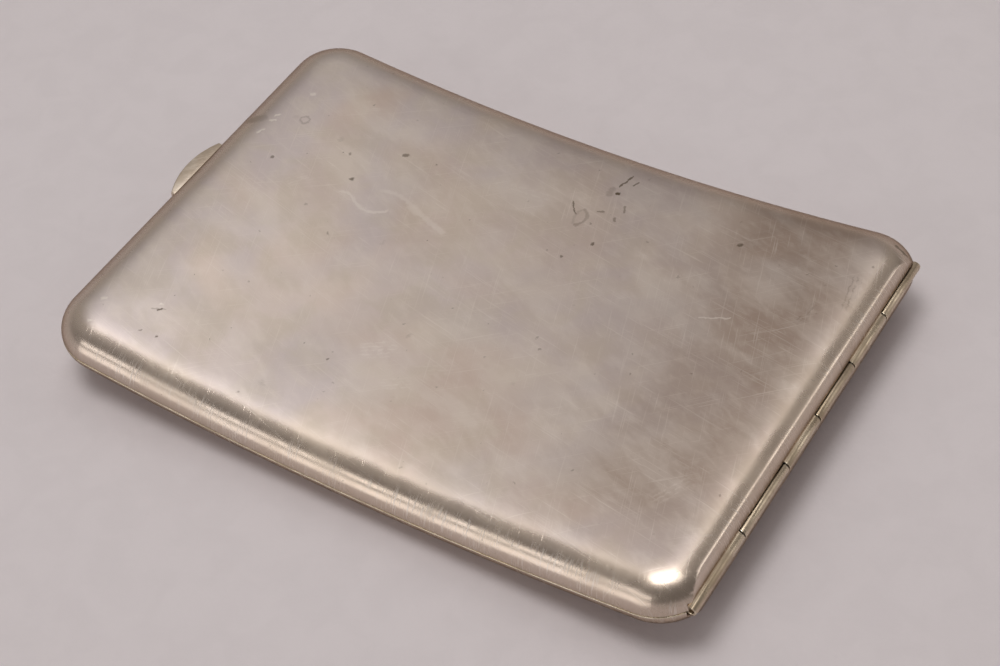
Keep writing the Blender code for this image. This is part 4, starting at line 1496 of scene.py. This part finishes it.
@dataclass
class Shells:
    """The two pressed halves, with rounded shoulders, a flat hinge wall and a gilt inside."""

    form: CaseForm
    finishes: Finishes
    hinge: Hinge
    drawn_shoulder: float = 0.0067
    corner_steps: int = 14
    shoulder_steps: int = 24
    lengthwise_step: float = 0.0016
    crosswise_step: float = 0.00125
    weld: float = 0.000002
    edge_round: float = 0.00011
    edge_segments: int = 3
    gilt_index: int = 1
    edge_index: int = 2
    wall_round: float = 0.0034
    wall_steps: int = 8
    crown: float = 0.00022
    crown_reach: float = 0.0080
    crown_blend: float = 0.0012
    wave_height: float = 0.00005
    wave_length: float = 0.021
    wave_leans: Span = (0.4, 0.3)
    cross_wave: float = 0.8
    swirl: float = 0.45
    wave_shares: Span = (0.6, 0.4)
    phases: Span = (0.6, 2.1)
    slot_floor: float = 0.0010
    slot_height: float = 0.0012
    slot_width: float = 0.0134
    overrun: float = 0.002

    def press(self, name: str) -> Workpiece:
        """Blank of one half: corners rounded, shoulders drawn in and the hinge wall cut flat."""
        form = self.form
        s, y = form.half_length, form.half_width
        blank = Workpiece.plate(name, (-s, -y), (s, y), form.rim)
        with blank.editing():
            blank.round_corners(form.corner, self.corner_steps)
            self.draw_shoulder()
            self.cut_hinge_wall(blank)
        return blank

    def draw_shoulder(self) -> None:
        """Inset the selected face in steps that follow a quarter of an ellipse."""
        form = self.form
        first = math.asin(form.rim / form.depth)
        inset, height = self.drawn_shoulder * (1 - math.cos(first)), form.rim
        for step in range(1, self.shoulder_steps + 1):
            angle = first + (math.pi / 2 - first) * step / self.shoulder_steps
            next_inset = self.drawn_shoulder * (1 - math.cos(angle))
            next_height = form.depth * math.sin(angle)
            bpy.ops.mesh.inset(
                thickness=next_inset - inset, depth=next_height - height, use_even_offset=True
            )
            inset, height = next_inset, next_height

    def cut_hinge_wall(self, blank: Workpiece) -> None:
        """Cut the hinge side flat, its top edge eased over from the shoulder's slope in narrow planes."""
        form = self.form
        across = 1 - form.hinge_inset / self.drawn_shoulder
        up = math.sqrt(1 - across * across)
        edge = Vector((form.hinge_s, 0, form.depth * up))
        start = math.atan2(across / self.drawn_shoulder, up / form.depth)
        half = (math.pi / 2 - start) / 2
        for step in range(1, self.wall_steps + 1):
            angle = start + 2 * half * step / self.wall_steps
            facing = Vector((math.sin(angle), 0, math.cos(angle)))
            depth = self.wall_round * (math.cos(angle - start - half) / math.cos(half) - 1)
            self.cut_and_close(blank, edge - facing * depth, facing)

    def cut_and_close(self, blank: Workpiece, place: Vector, facing: Vector) -> None:
        """Cut off what lies past a plane and close the hole, down to the rim where the plane reaches it."""

        def on_plane(corner: bmesh.types.BMVert) -> bool:
            """Whether a corner lies on the plane."""
            return abs((corner.co - place).dot(facing)) < CLOSE

        blank.cut(tuple(place), tuple(facing), clear=True)
        rim = self.form.rim + CLOSE
        if blank.pick(Part.CORNER, lambda corner: on_plane(corner) and corner.co.z < rim) == 2:
            bpy.ops.mesh.edge_face_add()
        blank.pick(Part.EDGE, lambda edge: all(on_plane(corner) for corner in edge.verts))
        bpy.ops.mesh.edge_face_add()

    def grid(self, blank: Workpiece) -> None:
        """Cut the blank into small panels, so that it can roll and be uneven."""
        form = self.form
        blank.slice_lengthwise(self.lengthwise_step)
        rows = math.floor((form.half_width - form.shoulder) / self.crosswise_step)
        with blank.editing():
            for row in range(-rows, rows + 1):
                blank.cut((0, row * self.crosswise_step, 0), (0, 1, 0))
        blank.weld(self.weld)

    def crown_drop(self, inner: float) -> float:
        """How far the face has sunk at a distance inside the shoulder, so that it eases over into it."""
        slope = 2 * self.crown / self.crown_reach
        if inner >= 0:
            return self.crown * max(1 - inner / self.crown_reach, 0.0) ** 2
        past = min(-inner, self.crown_blend)
        return self.crown + slope * (past - past * past / (2 * self.crown_blend))

    def make_uneven(self, blank: Workpiece, phase: float) -> None:
        """Ease the face over into its shoulders and let it sink in slow waves, as worn sheet does.

        Args:
            blank: the half, flat and cut into small panels.
            phase: where the waves start, in radians.
        """
        form = self.form
        turns = math.tau / self.wave_length
        lean, cross_lean = self.wave_leans
        wave_share, swirl_share = self.wave_shares
        for corner in blank.obj.data.vertices:
            s, y, w = corner.co
            across_s = form.corner - form.half_length + abs(s)
            across_y = form.corner - form.half_width + abs(y)
            in_corner = min(across_s, across_y) > 0
            outer = math.hypot(across_s, across_y) if in_corner else max(across_s, across_y)
            inner = form.corner - self.drawn_shoulder - outer
            share = min(max(inner / form.shoulder, 0.0), 1.0)
            w -= self.crown_drop(inner) * w / form.depth
            wave = math.sin(turns * (s + lean * y) + phase)
            wave *= math.sin(turns * self.cross_wave * (y - cross_lean * s) + 2 * phase)
            swirl = math.sin(turns * self.swirl * (s - y) + 3 * phase)
            level = (1 + wave_share * wave + swirl_share * swirl) / 2
            corner.co.z = w - self.wave_height * share * level

    def thicken(self, blank: Workpiece, outer: Material) -> None:
        """Give the sheet its thickness inwards, gilt on the inside, with rubbed edges."""
        blank.paint(outer, self.finishes.gilt, self.finishes.worn_edge)
        blank.apply(
            "SOLIDIFY",
            thickness=self.form.sheet,
            offset=-1.0,
            use_even_offset=True,
            use_quality_normals=True,
            material_offset=self.gilt_index,
            material_offset_rim=self.edge_index,
        )

        def beside_rim(edge: bmesh.types.BMEdge) -> bool:
            """Whether one of an edge's faces belongs to the rim and the other doesn't."""
            return sum(face.material_index == self.edge_index for face in edge.link_faces) == 1

        with blank.editing():
            blank.pick(Part.EDGE, beside_rim)
            bpy.ops.mesh.bevel(
                offset=self.edge_round,
                segments=self.edge_segments,
                clamp_overlap=False,
                material=self.edge_index,
            )

    def thumb_slot(self) -> Workpiece:
        """Space for the thumb piece in the lid's catch wall."""
        form = self.form
        half = self.slot_width / 2 + form.running_gap
        top = self.slot_floor + self.slot_height + form.running_gap
        depth = form.wall_inset(top, form.sheet) + self.overrun
        low = (form.catch_s(-self.overrun), form.catch_offset - half, self.slot_floor - form.running_gap)
        high = (form.catch_s(depth), form.catch_offset + half, top)
        return Workpiece.block("thumb_slot", low, high)

    def build(self) -> None:
        """Make both halves."""
        lid = self.press("lid_plate")
        self.grid(lid)
        lid.hold()
        bpy.ops.object.duplicate()
        base = Workpiece.adopt("base_plate")
        for piece, phase in zip((lid, base), self.phases):
            self.make_uneven(piece, phase)
        with base.editing():
            bpy.ops.mesh.select_all(action="SELECT")
            bpy.ops.transform.resize(value=(1, 1, -1), center_override=(0, 0, 0))
            bpy.ops.mesh.flip_normals()
        self.thicken(lid, self.finishes.lid_plate)
        self.thicken(base, self.finishes.base_plate)
        lid.combine(self.thumb_slot(), "DIFFERENCE")
        for piece, body in ((lid, "lid"), (base, "base")):
            piece.combine(self.hinge.cutter(body), "DIFFERENCE")
            piece.weld(self.weld)
            piece.roll(self.form)
            piece.smooth()
            piece.seat(body, "silver_plate", f"{body}_shell")


@dataclass
class RimStrips:
    """Two strips inside the base that stand up past the seam and guide the lid."""

    form: CaseForm
    finishes: Finishes
    thickness: float = 0.0005
    rise: float = 0.0008
    drop: float = 0.0012
    hinge_stop: float = 0.012
    mouth: float = 0.038
    corner_steps: int = 16
    slice_step: float = 0.004
    edge_round: float = 0.00009

    def make_strip(self, name: str, side: int) -> None:
        """One strip: a ring round the inside of the rim, cut off at the hinge end and at the catch.

        Args:
            name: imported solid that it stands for.
            side: -1 for the near strip, 1 for the far one.
        """
        form = self.form
        face = form.wall_inset(max(self.drop, self.rise), form.sheet) + form.seat_gap
        reach_s, reach_y = form.half_length - face, form.half_width - face
        ring = Workpiece.plate(f"{name}_rail", (-reach_s, -reach_y), (reach_s, reach_y), -self.drop)
        with ring.editing():
            ring.round_corners(form.corner - face, self.corner_steps)
            bpy.ops.mesh.inset(thickness=self.thickness, use_even_offset=True)
            bpy.ops.mesh.delete(type="FACE")
            ring.cut((form.hinge_s - self.hinge_stop, 0, 0), (1, 0, 0), clear=True)
            ring.cut((0, form.catch_offset + side * self.mouth / 2, 0), (0, -side, 0), clear=True)
            bpy.ops.mesh.select_all(action="SELECT")
            ring.extrude((0, 0, self.rise + self.drop))
            ring.face_outwards()
        ring.slice_lengthwise(self.slice_step)
        ring.soften(self.edge_round)
        ring.roll(form)
        ring.dress(self.finishes.gilt, "base", "gilt_fittings", name)

    def build(self) -> None:
        """Make both strips."""
        for name, side in (("bezel_strip_near", -1), ("bezel_strip_far", 1)):
            self.make_strip(name, side)


@dataclass
class Catch:
    """Thumb piece with its hook, the leaf spring behind it, the keeper and the screen."""

    form: CaseForm
    finishes: Finishes
    thumb_width: float = 0.0134
    thumb_reach: float = 0.0016
    thumb_thickness: float = 0.0012
    thumb_floor: float = 0.0010
    thumb_shank: float = 0.0016
    hook_face: float = 0.0026
    hook_thickness: float = 0.0006
    hook_width: float = 0.0060
    nose_reach: float = 0.0004
    nose_top: float = 0.0014
    nose_height: float = 0.0006
    hook_seat: float = 0.00003
    notch_depth: float = 0.00010
    notch_border: float = 0.00005
    notch_zone: Span = (0.0043, 0.0063)
    rim_sides: int = 240
    rim_round: float = 0.00016
    rim_segments: int = 3
    upright_limit: float = 0.1
    edge_round: float = 0.00008
    leaf_thickness: float = 0.00025
    leaf_height: float = 0.0014
    leaf_floor: float = 0.0009
    leaf_bow: float = 0.0010
    leaf_end_pad: float = 0.0028
    leaf_centre_pad: float = 0.0030
    leaf_half: float = 0.0150
    leaf_middle: float = 0.003525
    leaf_steps: int = 14
    leaf_round_share: float = 0.25

    def crescent(self) -> Workpiece:
        """Curved push plate, its rim rounded and milled near both ends."""
        form = self.form
        half = self.thumb_width / 2
        radius = (half * half + self.thumb_reach ** 2) / (2 * self.thumb_reach)
        centre = form.catch_s(radius - self.thumb_reach)
        low, high = self.thumb_floor, self.thumb_floor + self.thumb_thickness
        place = (centre, form.catch_offset)
        plate = Workpiece.disc("thumb_crescent", radius, low, high, place, self.rim_sides)
        step = math.tau / self.rim_sides
        first, last = self.notch_zone

        def milled(face: bmesh.types.BMFace) -> bool:
            """Whether a face of the rim becomes a notch: every second one in the two zones."""
            middle = middle_of(face)
            across = middle.y - form.catch_offset
            turn = math.atan2(across, middle.x - centre)
            upright = abs(face.normal.z) < self.upright_limit and middle.x < form.catch_s(0)
            return upright and first < abs(across) < last and round(turn / step - 0.5) % 2 == 0

        with plate.editing():
            plate.cut((form.catch_s(self.thumb_shank), 0, 0), (1, 0, 0), clear=True, fill=True)
            for side in (-1, 1):
                plate.cut((0, form.catch_offset + side * half, 0), (0, side, 0), clear=True, fill=True)
            plate.pick(Part.EDGE, lambda edge: abs(edge.verts[0].co.z - edge.verts[1].co.z) < FINE)
            bpy.ops.mesh.bevel(offset=self.rim_round, segments=self.rim_segments, clamp_overlap=False)
            plate.pick(Part.FACE, milled)
            bpy.ops.mesh.inset(
                thickness=self.notch_border,
                depth=-self.notch_depth,
                use_individual=True,
                use_even_offset=True,
            )
        return plate

    def make_thumb(self) -> None:
        """Thumb piece: crescent, shank, hook and nose in one."""
        form = self.form
        low, high = (form.catch_offset + side * self.hook_width / 2 for side in (-1, 1))
        floor = self.thumb_floor + self.hook_seat
        top = self.thumb_floor + self.thumb_thickness - self.hook_seat
        foot = -self.nose_top - self.nose_height
        root, face = self.thumb_shank / 2, self.hook_face
        nose, back = face - self.nose_reach, face + self.hook_thickness
        depths = (
            (root, floor),
            (face, floor),
            (face, -self.nose_top),
            (nose, -self.nose_top),
            (nose, foot + self.nose_height / 2),
            (face, foot),
            (back, foot),
            (back, top),
            (root, top),
        )
        plate = self.crescent()
        outline = [(form.catch_s(depth), w) for depth, w in depths]
        hook = Workpiece.bar("hook", outline, low, high)
        hook.soften(self.edge_round)
        plate.combine(hook, "UNION")
        plate.obj.name = "thumb_plate"
        plate.roll(form)
        plate.dress(self.finishes.thumb, "thumb", "silver_plate", "thumb_piece")

    def make_leaf_half(self, name: str, side: int) -> None:
        """Half of the bowed leaf, between its block on the lid and the hook.

        Args:
            name: name of the piece.
            side: -1 for the near half, 1 for the far one.
        """
        form = self.form
        ends = self.leaf_middle - self.leaf_bow
        flat = self.leaf_half - self.leaf_end_pad
        middle_w = self.leaf_floor + self.leaf_height / 2
        spots = [(ends, self.leaf_half)]
        for step in range(self.leaf_steps + 1):
            share = step / self.leaf_steps
            depth = ends + self.leaf_bow * (1 - math.cos(math.pi * share)) / 2
            spots.append((depth, flat + (self.leaf_centre_pad - flat) * share))
        spots.append((self.leaf_middle, 0.0))
        path = [
            Vector((form.catch_s(depth), form.catch_offset + side * across, middle_w))
            for depth, across in spots
        ]
        leaf = Workpiece.ribbon(name, path, Vector((0, 0, self.leaf_height)), self.leaf_thickness)
        leaf.soften(self.leaf_thickness * self.leaf_round_share)
        leaf.roll(form)
        leaf.paint(self.finishes.steel)
        leaf.smooth()
        start = form.bend_point(*path[1])
        end = form.bend_point(form.catch_s(self.leaf_middle), path[-2].y, middle_w)
        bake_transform(leaf.obj)
        leaf.label("spring_steel", "catch_leaf_spring")

    def build(self) -> None:
        """Make the whole catch."""
        self.make_thumb()
        self.make_leaf_half("catch_leaf_near", -1)
        self.make_leaf_half("catch_leaf_far", 1)
        for node, body in (
            ("catch_keeper", "base"),
            ("spring_block_near", "lid"),
            ("spring_block_far", "lid"),
            ("catch_cover", "lid"),
        ):
            make_fitting(node, "fitting", body, self.finishes.gilt, self.edge_round)


@dataclass
class Band:
    """Elastic band across the base, its two bridges and the stitches that close its loops."""

    form: CaseForm
    finishes: Finishes
    width: float = 0.0080
    thickness: float = 0.0007
    tail: float = 0.0085
    tail_run: float = 0.0020
    clip_margin: float = 0.00165
    clip_length: float = 0.0025
    clip_sheet: float = 0.0005
    turn_steps: int = 14
    clip_round: float = 0.00012
    round_segments: int = 3
    band_round: float = 0.00018
    band_angle: float = 60.0
    band_smooth: float = 50.0
    stitch_radius: float = 0.00013
    stitch_sides: int = 10
    stitch_round_share: float = 0.8
    stitch_angle: float = 50.0
    stitch_smooth: float = 60.0
    stitch_length: float = 0.0010
    stitch_count: int = 6
    stitch_rows: tuple[float, ...] = (0.0024, 0.0066)

    def end_line(self) -> list[Vector]:
        """Middle line of the band's hinge end, from its sewn tail round the bridge."""
        form = self.form
        place = form.half_length - form.shoulder - self.clip_margin - self.clip_length / 2
        line = form.sheet - form.depth + form.seat_gap + self.thickness / 2
        loop = (2 * form.seat_gap + self.clip_sheet + self.thickness) / 2
        edge = self.clip_length / 2 + form.seat_gap
        spots = [(place - edge, line + 2 * loop)]
        for step in range(self.turn_steps + 1):
            angle = math.pi / 2 - math.pi * step / self.turn_steps
            spots.append((place + edge + loop * math.cos(angle), line + loop + loop * math.sin(angle)))
        spots.append((place - edge, line))
        bent = [form.bend_point(s, 0, w) for s, w in spots]
        height = bent[-1].z + self.thickness + form.seat_gap
        tail = [form.bend_point(place - edge - length, 0, line) for length in (self.tail, self.tail_run)]
        return [Vector((point.x, 0, height)) for point in tail] + bent

    def make_band(self) -> float:
        """The band itself; returns the height of its tail's upper face."""
        end = self.end_line()
        path = end + [Vector((-point.x, 0, point.z)) for point in end[::-1]]
        band = Workpiece.ribbon("elastic_web", path, Vector((0, self.width, 0)), self.thickness)
        band.soften(self.band_round, self.round_segments, self.band_angle)
        band.dress(self.finishes.elastic, "base", "elastic_web", "elastic_band", angle=self.band_smooth)
        return end[0].z + self.thickness / 2

    def make_stitches(self, name: str, side: int, height: float) -> None:
        """Rows of thread stitches through one sewn tail.

        Args:
            name: name of the piece.
            side: -1 for the tail at the catch, 1 for the one at the hinge.
            height: height of the tail's upper face.
        """
        tail = self.end_line()[0].x
        pitch = self.width / (self.stitch_count + 1)
        low = -pitch * (self.stitch_count - 1) / 2 - self.stitch_length / 2
        high = low + self.stitch_length
        rows = []
        for row in self.stitch_rows:
            spot = (side * (tail + row), height)
            stitch = Workpiece.rod(name, self.stitch_radius, low, high, spot, self.stitch_sides)
            width = self.stitch_radius * self.stitch_round_share
            stitch.soften(width, self.round_segments, self.stitch_angle)
            stitch.apply(
                "ARRAY",
                count=self.stitch_count,
                use_relative_offset=False,
                use_constant_offset=True,
                constant_offset_displace=(0, pitch, 0),
            )
            rows.append(stitch)
        joined = rows[0]
        joined.hold()
        for stitch in rows:
            stitch.obj.select_set(True)
        bpy.ops.object.join()
        joined.obj.name = name
        joined.dress(self.finishes.thread, "base", "elastic_web", angle=self.stitch_smooth)

    def build(self) -> None:
        """Make the band and what holds it."""
        height = self.make_band()
        for name, side in (("band_stitches_catch", -1), ("band_stitches_hinge", 1)):
            self.make_stitches(name, side, height)
        for node in ("band_clip_catch", "band_clip_hinge"):
            make_fitting(node, "bridge", "base", self.finishes.gilt, self.clip_round, self.round_segments)


# Studio

@dataclass(frozen=True)
class SoftLight:
    """Rectangular or round soft light that points at the case.

    Directions are in degrees: azimuth from the far side towards the hinge, elevation above the floor,
    and the half angles that the light spans as the case sees it.
    """

    name: str
    azimuth: float
    elevation: float
    half_width: float
    half_height: float
    radiance: float
    round: bool = False
    tint: Colour = (1.0, 0.97, 0.94)
    distance: float = 0.9

    def place(self, target: Vector) -> None:
        """Hang the light over the case."""
        azimuth, elevation = math.radians(self.azimuth), math.radians(self.elevation)
        level = math.cos(elevation)
        heading = Vector((math.sin(azimuth) * level, math.cos(azimuth) * level, math.sin(elevation)))
        bpy.ops.object.light_add(type="AREA", location=target + heading * self.distance)
        lamp = bpy.context.active_object
        lamp.name = self.name
        lamp.rotation_euler = heading.to_track_quat("Z", "Y").to_euler()
        lamp.data.shape = "ELLIPSE" if self.round else "RECTANGLE"
        lamp.data.size = 2 * self.distance * math.tan(math.radians(self.half_width))
        lamp.data.size_y = 2 * self.distance * math.tan(math.radians(self.half_height))
        area = lamp.data.size * lamp.data.size_y * (math.pi / 4 if self.round else 1.0)
        lamp.data.energy = self.radiance * math.pi * area
        lamp.data.color = self.tint
        lamp.visible_camera = False


@dataclass
class Studio:
    """Camera, soft lights, sky and paper."""

    form: CaseForm
    finishes: Finishes
    azimuth: float = 38.344
    elevation: float = 47.923
    roll: float = -8.458
    distance: float = 0.325745
    target: Spot = (0.00424611, -0.00213242)
    lens: float = 74.239
    sensor: float = 36.0
    nearest: float = 0.01
    paper_half: float = 1.6
    sky: Colour = (0.165, 0.15, 0.14)
    glow: Colour = (0.36, 0.335, 0.315)
    glow_heading: Point = (-0.45, 0.42, 0.8)
    glow_span: Span = (0.35, 0.95)
    backdrop: Colour = (0.46, 0.42, 0.41)
    backdrop_span: Span = (0.40, 0.17)
    unseen_share: float = 0.72
    lights: tuple[SoftLight, ...] = (
        SoftLight("overhead_key", -152.0, 81.0, 12.0, 12.0, 5.5, True),
        SoftLight("overhead_halo", 110.0, 78.0, 11.0, 11.0, 1.5, True),
        SoftLight("overhead_soft", -44.0, 73.5, 20.5, 20.5, 0.87, True),
        SoftLight("hinge_glow", -5.0, 59.0, 9.0, 9.0, 1.0, True),
        SoftLight("front_panel", -163.0, 10.0, 20.0, 10.0, 0.85),
        SoftLight("front_strip", -163.0, 31.0, 20.0, 5.0, 1.3),
        SoftLight("hinge_band", 52.0, 38.0, 12.0, 8.0, 0.5),
        SoftLight("hinge_panel", 57.0, 25.0, 10.0, 9.0, 1.15),
    )

    def make_camera(self) -> None:
        """Camera at the photograph's viewing angle."""
        angles = (self.azimuth, self.elevation, self.roll)
        azimuth, elevation, roll = (math.radians(angle) for angle in angles)
        level = math.cos(elevation)
        back = Vector((math.sin(azimuth) * level, -math.cos(azimuth) * level, math.sin(elevation)))
        right = Vector((math.cos(azimuth), math.sin(azimuth), 0))
        up = back.cross(right)
        turned_right = right * math.cos(roll) + up * math.sin(roll)
        turned_up = up * math.cos(roll) - right * math.sin(roll)
        target = Vector((*self.target, self.form.rise))
        pose = Matrix((turned_right, turned_up, back)).transposed().to_4x4()
        pose.translation = target + back * self.distance
        bpy.ops.object.camera_add()
        camera = bpy.context.active_object
        camera.name = "photo_camera"
        camera.matrix_world = pose
        camera.data.lens = self.lens
        camera.data.sensor_width = self.sensor
        camera.data.clip_start = self.nearest
        bpy.context.scene.camera = camera

    def make_paper(self) -> None:
        """Sheet of paper under the case."""
        reach = self.paper_half
        paper = Workpiece.plate("studio_paper", (-reach, -reach), (reach, reach), 0.0)
        paper.paint(self.finishes.paper)

    def make_sky(self) -> None:
        """Dim room light, brighter behind the catch, over a backdrop that only camera and metal see."""
        world = bpy.data.worlds.new("room")
        world.use_nodes = True
        sketch = Sketch(world.node_tree)
        heading = sketch.node("ShaderNodeTexCoord").outputs["Generated"]
        facing = sketch.measure("DOT_PRODUCT", heading, tuple(Vector(self.glow_heading).normalized()))
        tone = sketch.mix(sketch.ramp(facing, *self.glow_span), self.sky, self.glow)
        rays = sketch.node("ShaderNodeLightPath").outputs
        seen = sketch.larger(rays["Is Camera Ray"], rays["Is Glossy Ray"])
        seen = sketch.larger(seen, rays["Is Transmission Ray"])
        height = sketch.node("ShaderNodeSeparateXYZ", {0: heading}).outputs[2]
        low = sketch.ramp(height, *self.backdrop_span)
        tone = sketch.mix(sketch.times(low, seen), tone, self.backdrop)
        strength = sketch.ramp(seen, 0.0, 1.0, self.unseen_share, 1.0)
        sketch.wire(world.node_tree.nodes["Background"], Color=tone, Strength=strength)
        bpy.context.scene.world = world

    def build(self) -> None:
        """Set up the whole studio."""
        self.make_camera()
        self.make_sky()
        self.make_paper()
        for light in self.lights:
            light.place(Vector((0, 0, self.form.rise)))
        bpy.context.scene.view_settings.view_transform = "Standard"


def main() -> None:
    """Build the case and its studio in order."""
    logging.basicConfig(level=logging.INFO, format="%(name)s: %(message)s")
    form = CaseForm()
    finishes = Finishes.build()
    Studio(form, finishes).build()
    hinge = Hinge(form, finishes)
    Shells(form, finishes, hinge).build()
    hinge.build()
    RimStrips(form, finishes).build()
    Catch(form, finishes).build()
    Band(form, finishes).build()


if __name__ == "__main__":
    main()
